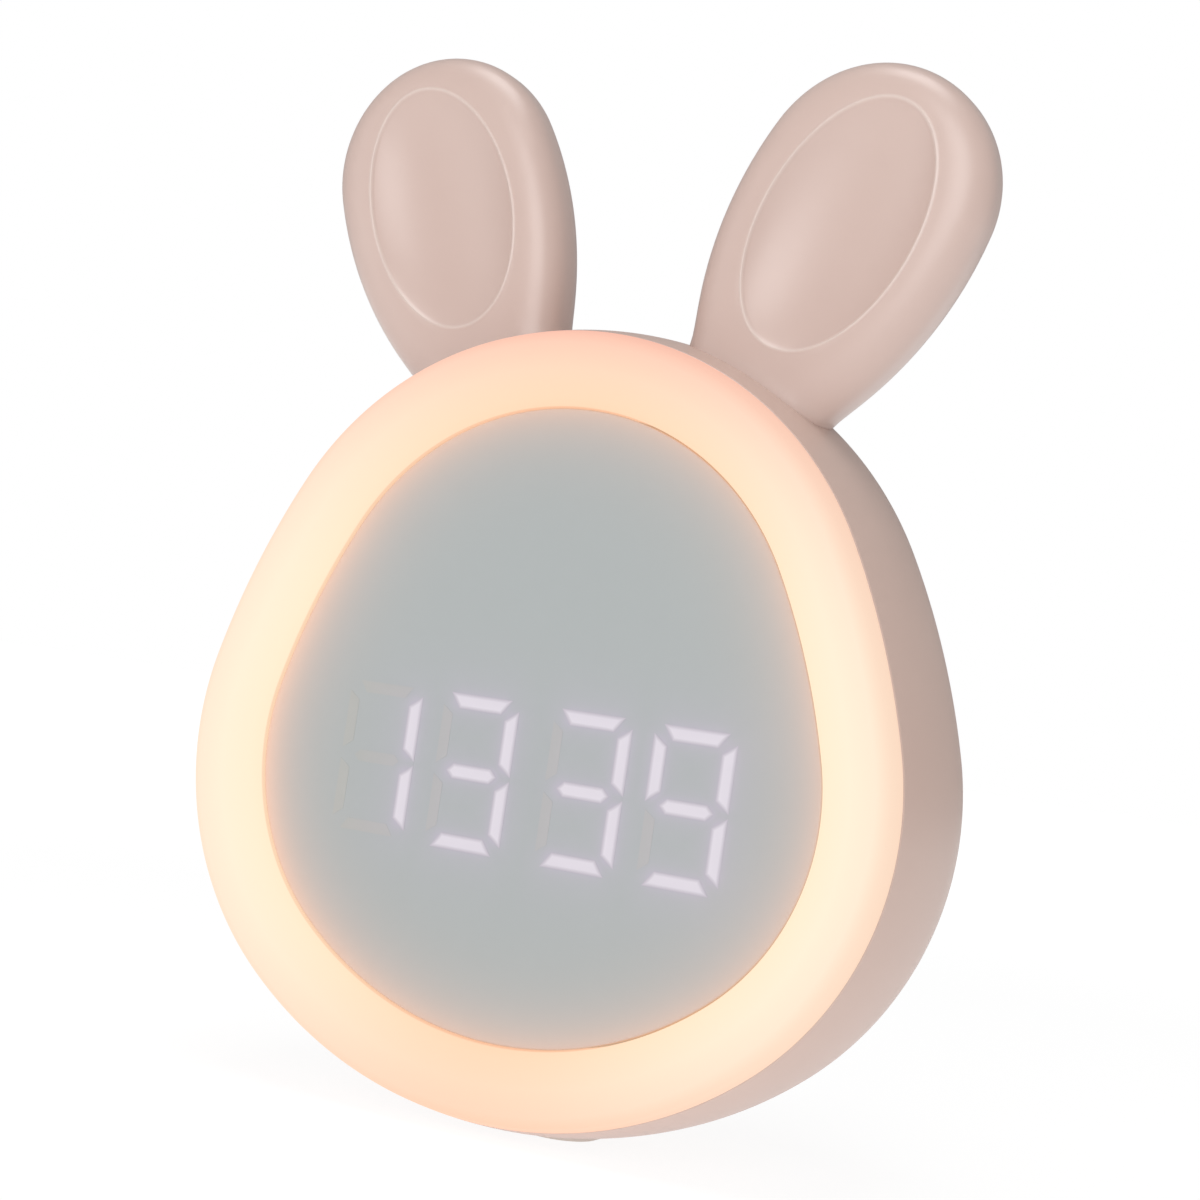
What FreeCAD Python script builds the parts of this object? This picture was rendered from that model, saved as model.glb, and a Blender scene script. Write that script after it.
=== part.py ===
import FreeCAD, Part
import math
import os
import Sketcher

# Kids alarm clock with a night light: an egg-shaped body with two puffed ears, a glowing
# ring round a flat display face, and the controls on its back.
# Millimetres. X runs to the right seen from the front, Y towards the back, Z up.
# The origin lies on the table, midway across the width and the depth.

DRIVING_SIZES = {
    # Egg outline of the display face: four tangent arcs a side
    "crown_z": 67.6,
    "crown_radius": 39.6,
    "flank_radius": 108.6,
    "cheek_x": 10.7,
    "cheek_z": 52.4,
    "cheek_radius": 35.2,
    "chin_radius": 51.9,
    # Section of the body, carried round that outline
    "body_depth": 50.2,
    "crest_rise": 4.2,
    "girth_setback": 17.0,
    "girth_reach": 13.9,
    "side_radius": 66.4,
    "corner_radius": 2.3,
    "rear_radius": 42.75,
    "flat_inset": 22.6,
    # Shell, its front rim and the ledge that carries the frame
    "shell_wall": 2.2,
    "seam_reach": 11.7,
    "seam_gap": 0.1,
    "rim_wall": 1.9,
    "ledge_reach": 6.5,
    "ledge_thickness": 1.6,
    # Rear cover and its seat in the shell
    "cover_inset": 8.0,
    "cover_gap": 0.25,
    "seat_depth": 4.8,
    "seat_width": 4.0,
    "seat_thickness": 2.0,
    "cover_wall": 3.0,
    "cover_rim": 3.5,
    # Light ring
    "ring_gap": 0.2,
    "lip_rise": 0.5,
    "ring_wall": 2.0,
    "skirt_wall": 1.5,
    "tongue_wall": 1.5,
    "tongue_depth": 3.0,
    "tongue_gap": 0.1,
    # Face panel and the frame behind it
    "panel_thickness": 2.0,
    "frame_setback": 6.0,
    "frame_thickness": 2.0,
    "frame_reach": 10.3,
    "seat_wall_inset": 1.0,
    "seat_wall": 1.6,
    # Boards
    "board_thickness": 1.6,
    "ring_board_gap": 0.4,
    "ring_led_pitch": 13.0,
    "led_length": 3.5,
    "led_width": 2.8,
    "led_height": 0.8,
    # Seven-segment figures
    "display_z": 51.6,
    "figure_height": 20.9,
    "figure_width": 10.8,
    "figure_pitch": 16.5,
    "colon_gap": 18.6,
    "stroke": 1.62,
    "bar_long": 9.3,
    "post_long": 8.8,
    "middle_long": 7.8,
    "bevel": 1.25,
    "post_shift": 5.2,
    "colon_radius": 1.0,
    "colon_spread": 6.4,
    "segment_sink": 0.1,
    "segment_root": 1.2,
    "bar_lamp": 1.36,
    "display_board_width": 82.0,
    "display_board_height": 31.2,
    "light_box_end_margin": 5.0,
    "light_box_edge_margin": 1.1,
    "light_box_gap": 0.3,
    "display_screw_end_margin": 2.3,
    "display_screw_edge_margin": 3.6,
    "small_screw_radius": 0.9,
    "small_head_radius": 1.8,
    "small_head_height": 1.2,
    "small_screw_length": 4.5,
    # Ears
    "ear_x": 22.5,
    "ear_z": 114.3,
    "ear_tilt": 24.3,
    "ear_length": 33.1,
    "ear_base_radius": 10.2,
    "ear_tip_radius": 18.6,
    "ear_flank_radius": 58.8,
    "ear_setback": 6.55,
    "ear_thickness": 15.1,
    "ear_front_round": 5.3,
    "ear_back_round": 8.9,
    "dish_rise": 26.0,
    "dish_half_length": 20.0,
    "dish_half_width": 12.2,
    "dish_depth": 3.5,
    "dish_hollow": 8.0,
    "dish_edge_round": 0.6,
    "ear_stem_radius": 3.5,
    "ear_stem_gap": 0.15,
    "ear_stem_root": 5.0,
    "ear_screw_head": 4.2,
    "ear_screw_gap": 0.55,
    "ear_screw_length": 9.0,
    # Foot
    "foot_proud": 0.4,
    "foot_setback": 18.2,
    "foot_half_width": 12.0,
    "foot_half_depth": 8.8,
    "foot_corner": 6.0,
    "foot_height": 2.0,
    "foot_gap": 0.15,
    "foot_boss": 2.2,
    "foot_boss_margin": 1.2,
    # Screw lugs inside the shell: four for the rear cover, four for the frame
    "lug_radius": 3.2,
    "lug_length": 8.0,
    "lug_top_x": 17.7,
    "lug_top_z": 88.7,
    "lug_low_x": 28.5,
    "lug_low_z": 37.5,
    "frame_lug_length": 5.0,
    "frame_screw_reach": 5.6,
    "frame_screw_top_angle": 46.8,
    "frame_screw_low_angle": 39.5,
    "screw_radius": 1.2,
    "screw_gap": 0.05,
    "screw_head_radius": 2.5,
    "screw_head_height": 1.7,
    "screw_clearance": 0.2,
    "screw_seat_depth": 3.6,
    "screw_length": 9.0,
    "cover_boss_wall": 0.4,
    # Main board and what it carries
    "main_board_setback": 9.1,
    "main_board_half_width": 25.0,
    "main_board_low": 30.0,
    "main_board_top": 84.5,
    "main_board_corner": 10.0,
    "post_radius": 2.2,
    "post_side_x": 20.5,
    "post_side_z": 63.0,
    "post_low_z": 37.5,
    # Keypad
    "key_z": 78.6,
    "key_pitch": 13.0,
    "key_radius": 4.0,
    "key_gap": 0.15,
    "key_sink": 0.2,
    "key_travel": 0.6,
    "plunger_rest": 0.3,
    "key_flange_radius": 5.2,
    "key_flange": 1.0,
    "key_play": 0.1,
    "key_edge": 0.6,
    "key_stem_radius": 1.5,
    "keypad_radius": 6.0,
    "keypad_sink": 1.2,
    "switch_size": 6.0,
    "switch_height": 3.5,
    "plunger_radius": 1.6,
    "plunger_gap": 0.06,
    "plunger_root": 1.5,
    "plunger_well": 2.5,
    # Speaker and its grille
    "speaker_z": 56.0,
    "speaker_radius": 14.0,
    "speaker_height": 5.4,
    "speaker_rim": 1.2,
    "speaker_lip": 1.6,
    "magnet_radius": 7.0,
    "magnet_height": 2.4,
    "cone_depth": 1.2,
    "cone_eye": 5.0,
    "grille_radius": 10.5,
    "slot_width": 1.5,
    "slot_pitch": 3.0,
    # Charging socket
    "socket_x": 12.0,
    "socket_z": 34.0,
    "socket_half_width": 4.5,
    "socket_half_height": 1.65,
    "socket_wall": 0.4,
    "socket_gap": 0.25,
    "socket_sink": 0.8,
    "socket_well": 6.0,
    "socket_tongue": 0.35,
    "socket_tongue_half": 3.3,
    # Power slide switch
    "slider_travel": 2.5,
    "slider_x": 12.0,
    "slider_half_width": 1.8,
    "slider_half_height": 1.5,
    "slider_gap": 0.2,
    "slider_sink": 0.4,
    "slide_case_half_width": 5.2,
    "slide_case_half_height": 2.6,
    "slide_case_height": 3.6,
    "slider_root": 1.4,
    "slider_well": 1.8,
    "slider_flange": 0.8,
    "slider_flange_gap": 0.2,
    # Battery
    "cell_radius": 9.2,
    "cell_length": 65.0,
    "cell_setback": 20.0,
    "cell_z": 23.5,
    "cell_gap": 0.15,
    "cell_nub_radius": 3.0,
    "cell_nub": 1.2,
    "cradle_half_width": 22.0,
    "cradle_wall": 2.0,
    "cradle_grip": 4.0,
}

FIGURES_SHOWN = "1339"
BARS_LIT = {
    "0": "abcdef",
    "1": "bc",
    "2": "abdeg",
    "3": "abcdg",
    "4": "bcfg",
    "5": "acdfg",
    "6": "acdefg",
    "7": "abc",
    "8": "abcdefg",
    "9": "abcdfg",
}
KEY_NAMES = ["alarm", "minus", "plus", "light"]

doc = FreeCAD.newDocument("night_light_clock")
sheet = doc.addObject("Spreadsheet::Sheet", "Sizes")
for row, (alias, size) in enumerate(DRIVING_SIZES.items(), start=1):
    sheet.set(f"A{row}", alias)
    sheet.set(f"B{row}", str(size))
    sheet.setAlias(f"B{row}", alias)
doc.recompute()

# Stations along the depth, as expressions on the driving sizes
FRONT = "(-Sizes.body_depth / 2)"
BACK = "(Sizes.body_depth / 2)"
PANEL = f"({FRONT} + Sizes.crest_rise)"
PANEL_BACK = f"({PANEL} + Sizes.panel_thickness)"
GIRTH = f"({PANEL} + Sizes.girth_setback)"
FRAME = f"({PANEL} + Sizes.frame_setback)"
FRAME_BACK = f"({FRAME} + Sizes.frame_thickness)"
SEAT = f"({BACK} - Sizes.seat_depth)"
COVER_INSIDE = f"({BACK} - Sizes.cover_wall)"
BOARD_BACK = f"({BACK} - Sizes.main_board_setback)"

nodes = {}


def number(expression):
    """The value of an expression on the driving sizes."""
    value = sheet.evalExpression(str(expression))
    return float(getattr(value, "Value", value))


def keep(item, name):
    """Marks a finished piece, under the name of its file."""
    item.Label = name
    nodes[name] = item
    return item


def origin_plane(body, role):
    return [plane for plane in body.Origin.OriginFeatures if plane.Role == role][0]


def add_sketch(body, name, role, lift="0"):
    """An empty sketch on a plane of the body, lifted along that plane's normal."""
    sketch = body.newObject("Sketcher::SketchObject", name)
    sketch.AttachmentSupport = [(origin_plane(body, role), "")]
    sketch.MapMode = "FlatFace"
    sketch.setExpression("AttachmentOffset.Base.z", lift)
    return sketch


def face_sketch(body, name, depth):
    """A sketch that faces the front, at a depth: X across and Z up."""
    return add_sketch(body, name, "XZ_Plane", f"-({depth})")


def bind(sketch, kind, *places, size):
    """Adds a dimension whose value is an expression."""
    index = sketch.addConstraint(Sketcher.Constraint(kind, *places, number(size)))
    sketch.setExpression(f"Constraints[{index}]", str(size))


def pin_point(sketch, geometry, place, across, up):
    bind(sketch, "DistanceX", -1, 1, geometry, place, size=across)
    bind(sketch, "DistanceY", -1, 1, geometry, place, size=up)


def draw_circle(sketch, across, up, radius):
    centre = FreeCAD.Vector(number(across), number(up), 0)
    circle = Part.Circle(centre, FreeCAD.Vector(0, 0, 1), number(radius))
    index = sketch.addGeometry(circle, False)
    pin_point(sketch, index, 3, across, up)
    bind(sketch, "Radius", index, size=radius)


def arc_between(start, end, radius, turn):
    """The shorter arc from start to end. It bends left where turn is 1 and right where it is -1."""
    chord = end - start
    rise = math.sqrt(max(radius ** 2 - (chord.Length / 2) ** 2, 0))
    left = FreeCAD.Vector(-chord.y, chord.x, 0).normalize()
    centre = start + chord * 0.5 + left * (rise * turn)
    middle = centre - left * (radius * turn)
    return Part.Arc(start, middle, end)


def draw_path(sketch, corners):
    """A closed outline through corners. Each corner is (across, up) where a straight side
    leaves it, or (across, up, radius, turn) where an arc does."""
    points = [FreeCAD.Vector(number(corner[0]), number(corner[1]), 0) for corner in corners]
    pieces = []
    for corner, start, end in zip(corners, points, points[1:] + points[:1]):
        if len(corner) == 2:
            index = sketch.addGeometry(Part.LineSegment(start, end), False)
            pieces.append((index, 1, 2))
            continue
        turn = corner[3]
        index = sketch.addGeometry(arc_between(start, end, number(corner[2]), turn), False)
        pieces.append((index, 1, 2) if turn > 0 else (index, 2, 1))
    for piece, following in zip(pieces, pieces[1:] + pieces[:1]):
        join = Sketcher.Constraint("Coincident", piece[0], piece[2], following[0], following[1])
        sketch.addConstraint(join)
    for corner, piece in zip(corners, pieces):
        pin_point(sketch, piece[0], piece[1], corner[0], corner[1])
        if len(corner) == 4:
            bind(sketch, "Radius", piece[0], size=corner[2])


def draw_rounded_box(sketch, across, up, half_width, half_height, radius):
    """A rectangle with rounded corners about a centre."""
    right = f"({across}) + ({half_width})"
    left = f"({across}) - ({half_width})"
    top = f"({up}) + ({half_height})"
    low = f"({up}) - ({half_height})"
    draw_path(sketch, [
        (f"{left} + ({radius})", low),
        (f"{right} - ({radius})", low, radius, 1),
        (right, f"{low} + ({radius})"),
        (right, f"{top} - ({radius})", radius, 1),
        (f"{right} - ({radius})", top),
        (f"{left} + ({radius})", top, radius, 1),
        (left, f"{top} - ({radius})"),
        (left, f"{low} + ({radius})", radius, 1),
    ])


def draw_slot(sketch, across, up, half_run, radius):
    """A level slot with round ends, half_run being the way from its centre to an end's centre."""
    index = []
    for side, first in ((1, -math.pi / 2), (-1, math.pi / 2)):
        centre = FreeCAD.Vector(number(across) + side * number(half_run), number(up), 0)
        circle = Part.Circle(centre, FreeCAD.Vector(0, 0, 1), number(radius))
        index.append(sketch.addGeometry(Part.ArcOfCircle(circle, first, first + math.pi), False))
    for start, end in ((0, 1), (1, 0)):
        leave = sketch.getPoint(index[start], 2)
        reach = sketch.getPoint(index[end], 1)
        side = sketch.addGeometry(Part.LineSegment(leave, reach), False)
        sketch.addConstraint(Sketcher.Constraint("Tangent", index[start], 2, side, 1))
        sketch.addConstraint(Sketcher.Constraint("Tangent", side, 2, index[end], 1))
    pin_point(sketch, index[0], 3, f"({across}) + ({half_run})", up)
    pin_point(sketch, index[1], 3, f"({across}) - ({half_run})", up)
    bind(sketch, "Radius", index[0], size=radius)


def angle_from(centre, point):
    return math.atan2(point[1] - centre[1], point[0] - centre[0])


def meeting_centre(first, first_reach, second, second_reach, side):
    """The point at given distances from two centres, on one side of the line between them."""
    gap = math.dist(first, second)
    along = (first_reach ** 2 - second_reach ** 2 + gap ** 2) / (2 * gap)
    aside = side * math.sqrt(first_reach ** 2 - along ** 2)
    unit = ((second[0] - first[0]) / gap, (second[1] - first[1]) / gap)
    return (first[0] + along * unit[0] - aside * unit[1], first[1] + along * unit[1] + aside * unit[0])


def draw_arc_chain(sketch, arcs, start_angle, end_angle, side):
    """Arcs that touch end to end, from a start angle to an end angle. Going down the right
    side (1) they run clockwise, and down the left side (-1) the other way."""
    turns = [angle_from(arcs[1][0], arcs[0][0])]
    for before, after in zip(arcs[1:-1], arcs[2:]):
        smaller, larger = sorted((before, after), key=lambda arc: arc[1])
        turns.append(angle_from(larger[0], smaller[0]))
    limits = [start_angle] + turns + [end_angle]
    chain = []
    for (centre, radius), first, last in zip(arcs, limits, limits[1:]):
        low, high = (last, first) if side > 0 else (first, last)
        while high < low:
            high += 2 * math.pi
        middle = FreeCAD.Vector(centre[0], centre[1], 0)
        circle = Part.Circle(middle, FreeCAD.Vector(0, 0, 1), radius)
        chain.append(sketch.addGeometry(Part.ArcOfCircle(circle, low, high), False))
    leaving, reaching = (1, 2) if side > 0 else (2, 1)
    for before, after in zip(chain, chain[1:]):
        sketch.addConstraint(Sketcher.Constraint("Tangent", before, leaving, after, reaching))
    return chain, reaching, leaving


def draw_egg(sketch, grow="0"):
    """The outline of the display face, grown outwards: crown, flank, cheek and chin arcs on
    each side, whose centres stay where they are."""
    radii = {}
    for part in ("crown", "flank", "cheek", "chin"):
        radii[part] = f"Sizes.{part}_radius + ({grow})"
    size = {part: number(radii[part]) for part in radii}
    crown = (0.0, number("Sizes.crown_z"))
    right_arcs = None
    for side in (1, -1):
        cheek = (side * number("Sizes.cheek_x"), number("Sizes.cheek_z"))
        flank = meeting_centre(
            crown, size["flank"] - size["crown"], cheek, size["flank"] - size["cheek"], -side)
        drop = math.sqrt((size["chin"] - size["cheek"]) ** 2 - cheek[0] ** 2)
        chin = (0.0, cheek[1] + drop)
        arcs = [
            (crown, size["crown"]),
            (flank, size["flank"]),
            (cheek, size["cheek"]),
            (chin, size["chin"]),
        ]
        chain, top, low = draw_arc_chain(sketch, arcs, math.pi / 2, -math.pi / 2, side)
        sketch.addConstraint(Sketcher.Constraint("PointOnObject", chain[3], 3, -2))
        bind(sketch, "Radius", chain[1], size=radii["flank"])
        bind(sketch, "Radius", chain[2], size=radii["cheek"])
        pin_point(sketch, chain[2], 3, f"{side} * Sizes.cheek_x", "Sizes.cheek_z")
        if right_arcs is None:
            right_arcs = chain
            sketch.addConstraint(Sketcher.Constraint("PointOnObject", chain[0], 3, -2))
            sketch.addConstraint(Sketcher.Constraint("PointOnObject", chain[0], top, -2))
            sketch.addConstraint(Sketcher.Constraint("PointOnObject", chain[3], low, -2))
            bind(sketch, "DistanceY", -1, 1, chain[0], 3, size="Sizes.crown_z")
            bind(sketch, "Radius", chain[0], size=radii["crown"])
            bind(sketch, "Radius", chain[3], size=radii["chin"])
        else:
            sketch.addConstraint(Sketcher.Constraint("Coincident", chain[0], 3, right_arcs[0], 3))
            sketch.addConstraint(Sketcher.Constraint("Coincident", chain[0], top, right_arcs[0], 2))
            sketch.addConstraint(Sketcher.Constraint("Coincident", chain[3], low, right_arcs[3], 1))


def pad_back(body, name, sketch, length):
    """Extrudes a sketch that faces the front, towards the back."""
    pad = body.newObject("PartDesign::Pad", name)
    pad.Profile = sketch
    pad.Reversed = True
    pad.setExpression("Length", length)
    body.Tip = pad
    doc.recompute()
    return pad


def pocket_back(body, name, sketch, length):
    """Cuts a sketch that faces the front, towards the back."""
    pocket = body.newObject("PartDesign::Pocket", name)
    pocket.Profile = sketch
    pocket.setExpression("Length", length)
    body.Tip = pocket
    doc.recompute()
    return pocket


def pad_egg(body, name, grow, start, end):
    sketch = face_sketch(body, name + "_outline", start)
    draw_egg(sketch, grow)
    return pad_back(body, name, sketch, f"({end}) - ({start})")


def pocket_egg(body, name, grow, start, end):
    sketch = face_sketch(body, name + "_outline", start)
    draw_egg(sketch, grow)
    return pocket_back(body, name, sketch, f"({end}) - ({start})")


def pad_circles(body, name, places, radius, start, end, pocket=False):
    """Round posts or holes about places (across, up), between two depths."""
    sketch = face_sketch(body, name + "_outline", start)
    for across, up in places:
        draw_circle(sketch, across, up, radius)
    length = f"({end}) - ({start})"
    return (pocket_back if pocket else pad_back)(body, name, sketch, length)


def sweep_round(body, name, section):
    """Carries a section, drawn over the top of the egg, once round the display face."""
    spine = face_sketch(body, name + "_path", PANEL)
    draw_egg(spine)
    doc.recompute()
    pipe = body.newObject("PartDesign::AdditivePipe", name)
    pipe.Profile = section
    pipe.Spine = (spine, [f"Edge{index + 1}" for index in range(len(spine.Shape.Edges))])
    body.Tip = pipe
    doc.recompute()
    return pipe


def new_body(name):
    return doc.addObject("PartDesign::Body", name)


# Points of the body's section, where "out" is the way outwards from the display face's edge
def out(reach):
    """Height of a section point over the top of the egg."""
    return f"(Sizes.crown_z + Sizes.crown_radius + ({reach}))"


# The shoulder's radius follows from the arcs that it joins
SIDE_CENTRE = "(Sizes.girth_reach - Sizes.side_radius)"
REAR_DEPTH = f"({BACK} - {GIRTH})"
REAR_RUN = "(Sizes.girth_reach + Sizes.flat_inset)"
SHOULDER_RADIUS = (
    f"((2 * Sizes.rear_radius * {REAR_DEPTH} - {REAR_DEPTH}^2 - {REAR_RUN}^2)"
    f" / (2 * (Sizes.rear_radius - {REAR_RUN})))"
)
SHOULDER_CENTRE = f"(Sizes.girth_reach - {SHOULDER_RADIUS})"
BACK_CENTRE = f"({BACK} - Sizes.rear_radius)"
CORNER_CENTRE_DEPTH = f"({FRONT} + Sizes.corner_radius)"
CORNER_CENTRE = (
    f"({SIDE_CENTRE} + sqrt((Sizes.side_radius - Sizes.corner_radius)^2"
    f" - ({GIRTH} - {CORNER_CENTRE_DEPTH})^2))"
)


def side_reach(depth, inward="0"):
    """How far out the side arc stands at a depth, inside the surface by a wall."""
    return f"({SIDE_CENTRE} + sqrt((Sizes.side_radius - ({inward}))^2 - ({GIRTH} - ({depth}))^2))"


def side_depth(reach, inward="0"):
    """The depth at which the side arc has a reach, ahead of the girth."""
    return f"({GIRTH} - sqrt((Sizes.side_radius - ({inward}))^2 - (({reach}) - {SIDE_CENTRE})^2))"


def back_depth(reach, inward="0"):
    """The depth of the rear arc at a reach."""
    return f"({BACK_CENTRE} + sqrt((Sizes.rear_radius - ({inward}))^2 - (({reach}) + Sizes.flat_inset)^2))"


def back_reach(depth, inward="0"):
    return f"(sqrt((Sizes.rear_radius - ({inward}))^2 - (({depth}) - {BACK_CENTRE})^2) - Sizes.flat_inset)"


def blend_point(inward="0"):
    """Where the shoulder arc passes into the rear arc, as (depth, height)."""
    share = f"((Sizes.rear_radius - ({inward})) / (Sizes.rear_radius - {SHOULDER_RADIUS}))"
    reach = f"(-Sizes.flat_inset + ({SHOULDER_CENTRE} + Sizes.flat_inset) * {share})"
    return f"({BACK_CENTRE} + ({GIRTH} - {BACK_CENTRE}) * {share})", out(reach)


SEAM = side_depth("Sizes.seam_reach")
SHELL_RIM = f"({SEAM} + Sizes.seam_gap)"
TONGUE_OUTSIDE = "(Sizes.seam_reach - Sizes.rim_wall - Sizes.tongue_gap)"
TONGUE_INSIDE = f"({TONGUE_OUTSIDE} - Sizes.tongue_wall)"
SKIRT_INSIDE = "Sizes.ring_gap"
SKIRT_OUTSIDE = "(Sizes.ring_gap + Sizes.skirt_wall)"


# The whole egg as one solid, which trims the cover and the ears to the body's surface
def build_envelope():
    body = new_body("whole_egg")
    pad_egg(body, "core", "-Sizes.flat_inset", SEAM, BACK)
    section = add_sketch(body, "section", "YZ_Plane")
    inner = out("-Sizes.flat_inset - 1")
    draw_path(section, [
        (SEAM, inner),
        (BACK, inner),
        (BACK, out("-Sizes.flat_inset"), "Sizes.rear_radius", 1),
        (*blend_point(), SHOULDER_RADIUS, 1),
        (GIRTH, out("Sizes.girth_reach"), "Sizes.side_radius", 1),
        (SEAM, out("Sizes.seam_reach")),
    ])
    sweep_round(body, "flank", section)
    return body


envelope = build_envelope()


def add_box(name, low_x, high_x, low_y, high_y, low_z, high_z):
    """A plain box between two corners."""
    box = doc.addObject("Part::Box", name)
    box.setExpression("Length", f"({high_x}) - ({low_x})")
    box.setExpression("Width", f"({high_y}) - ({low_y})")
    box.setExpression("Height", f"({high_z}) - ({low_z})")
    box.setExpression("Placement.Base.x", low_x)
    box.setExpression("Placement.Base.y", low_y)
    box.setExpression("Placement.Base.z", low_z)
    return box


def combine(kind, name, base, tool):
    """A cut, a fusion or a common part of two objects."""
    result = doc.addObject(kind, name)
    result.Base = base
    result.Tool = tool
    doc.recompute()
    return result


def gather(name, pieces):
    """Several objects as one fusion."""
    result = doc.addObject("Part::MultiFuse", name)
    result.Shapes = pieces
    doc.recompute()
    return result


# Ears: the blank, its place on the body, and the stem that goes through the shell
EAR_DEPTH = f"({PANEL} + Sizes.ear_setback)"
EAR_MIDDLE = f"({EAR_DEPTH} + Sizes.ear_thickness / 2)"
EAR_SINK = (
    f"(Sizes.crown_radius + {side_reach(EAR_MIDDLE)}"
    " - sqrt(Sizes.ear_x^2 + (Sizes.ear_z - Sizes.crown_z)^2))"
)
EAR_WALL_INSIDE = f"({EAR_SINK} - Sizes.shell_wall)"


def place_on_ear(item, side):
    """Puts an object built upright about the origin where an ear stands, leaning outwards."""
    item.Placement = FreeCAD.Placement(
        FreeCAD.Vector(0, 0, 0), FreeCAD.Rotation(FreeCAD.Vector(0, side, 0), 1))
    item.setExpression("Placement.Base.x", f"{side} * Sizes.ear_x")
    item.setExpression("Placement.Base.y", EAR_DEPTH)
    item.setExpression("Placement.Base.z", "Sizes.ear_z")
    item.setExpression("Placement.Rotation.Angle", "Sizes.ear_tilt")


def draw_ear(sketch):
    """An egg on its small end: base, flank and tip arcs that touch."""
    base = (0.0, 0.0)
    tip = (0.0, number("Sizes.ear_length"))
    base_radius = number("Sizes.ear_base_radius")
    tip_radius = number("Sizes.ear_tip_radius")
    flank_radius = number("Sizes.ear_flank_radius")
    turned = {}
    for side in (1, -1):
        flank = meeting_centre(base, flank_radius - base_radius, tip, flank_radius - tip_radius, side)
        turned[side] = (flank, angle_from(flank, base), angle_from(flank, tip))
    full = 2 * math.pi
    spans = [
        (base, base_radius, turned[-1][1], turned[1][1] + full),
        (turned[1][0], flank_radius, turned[1][1], turned[1][2]),
        (tip, tip_radius, turned[1][2], turned[-1][2]),
        (turned[-1][0], flank_radius, turned[-1][2], turned[-1][1]),
    ]
    arcs = []
    for centre, radius, start, end in spans:
        while end <= start:
            end += full
        while end - start > full:
            end -= full
        circle = Part.Circle(FreeCAD.Vector(centre[0], centre[1], 0), FreeCAD.Vector(0, 0, 1), radius)
        arcs.append(sketch.addGeometry(Part.ArcOfCircle(circle, start, end), False))
    for before, after in zip(arcs, arcs[1:] + arcs[:1]):
        sketch.addConstraint(Sketcher.Constraint("Tangent", before, 2, after, 1))
    pin_point(sketch, arcs[0], 3, "0", "0")
    pin_point(sketch, arcs[2], 3, "0", "Sizes.ear_length")
    bind(sketch, "Radius", arcs[0], size="Sizes.ear_base_radius")
    bind(sketch, "Radius", arcs[1], size="Sizes.ear_flank_radius")
    bind(sketch, "Radius", arcs[2], size="Sizes.ear_tip_radius")
    bind(sketch, "Radius", arcs[3], size="Sizes.ear_flank_radius")


def edges_at(feature, depth):
    """Names of a feature's edges that lie in the upright plane at a depth."""
    names = []
    for index, edge in enumerate(feature.Shape.Edges, start=1):
        if all(abs(vertex.Point.y - depth) < 1e-6 for vertex in edge.Vertexes):
            names.append(f"Edge{index}")
    return names


def dish_rim_edges(feature):
    """Names of the edges round the dish: those in the front plane no wider than the dish."""
    widest = 2 * number("Sizes.dish_half_width") + number("Sizes.dish_edge_round")
    names = []
    for name in edges_at(feature, 0):
        if feature.Shape.getElement(name).BoundBox.XLength < widest:
            names.append(name)
    return names


def round_edges(body, name, feature, depth, radius):
    fillet = body.newObject("PartDesign::Fillet", name)
    fillet.Base = (feature, edges_at(feature, number(depth)))
    fillet.setExpression("Radius", radius)
    body.Tip = fillet
    doc.recompute()
    return fillet


def upright_cylinder(name, side, radius, low, high):
    """A round bar along an ear's own axis, midway through its thickness."""
    bar = new_body(name)
    sketch = add_sketch(bar, "outline", "XY_Plane", low)
    draw_circle(sketch, "0", "Sizes.ear_thickness / 2", radius)
    pad = bar.newObject("PartDesign::Pad", "length")
    pad.Profile = sketch
    pad.setExpression("Length", f"({high}) - ({low})")
    place_on_ear(bar, side)
    doc.recompute()
    return bar


def build_ear(side, name):
    """A puffed ear with a dished front, cut to the body and given a stem with a screw hole."""
    blank = new_body(name + "_blank")
    outline = face_sketch(blank, "outline", "0")
    draw_ear(outline)
    plate = pad_back(blank, "plate", outline, "Sizes.ear_thickness")
    back = round_edges(blank, "back_round", plate, "Sizes.ear_thickness", "Sizes.ear_back_round")
    round_edges(blank, "front_round", back, "0", "Sizes.ear_front_round")
    place_on_ear(blank, side)
    share = "sqrt(1 - ((Sizes.dish_hollow - Sizes.dish_depth) / Sizes.dish_hollow)^2)"
    dish = blank.newObject("PartDesign::SubtractiveEllipsoid", "dish")
    dish.setExpression("Radius1", f"Sizes.dish_half_length / {share}")
    dish.setExpression("Radius2", f"Sizes.dish_half_width / {share}")
    dish.setExpression("Radius3", "Sizes.dish_hollow")
    dish.setExpression("Placement.Base.y", "Sizes.dish_depth - Sizes.dish_hollow")
    dish.setExpression("Placement.Base.z", "Sizes.dish_rise")
    blank.Tip = dish
    doc.recompute()
    rim = blank.newObject("PartDesign::Fillet", "dish_edge_round")
    rim.Base = (dish, dish_rim_edges(dish))
    rim.setExpression("Radius", "Sizes.dish_edge_round")
    blank.Tip = rim
    doc.recompute()
    trimmed = combine("Part::Cut", name + "_trimmed", blank, envelope)
    stem_end = f"({EAR_WALL_INSIDE} + Sizes.ear_stem_gap)"
    stem = upright_cylinder(
        name + "_stem", side, "Sizes.ear_stem_radius", stem_end, "Sizes.ear_stem_root")
    bore = upright_cylinder(
        name + "_bore", side, "Sizes.screw_radius + Sizes.screw_gap",
        f"{stem_end} - 1", f"{EAR_WALL_INSIDE} + Sizes.ear_screw_length")
    solid = combine("Part::Fuse", name + "_solid", trimmed, stem)
    return keep(combine("Part::Cut", name, solid, bore), name)


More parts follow.
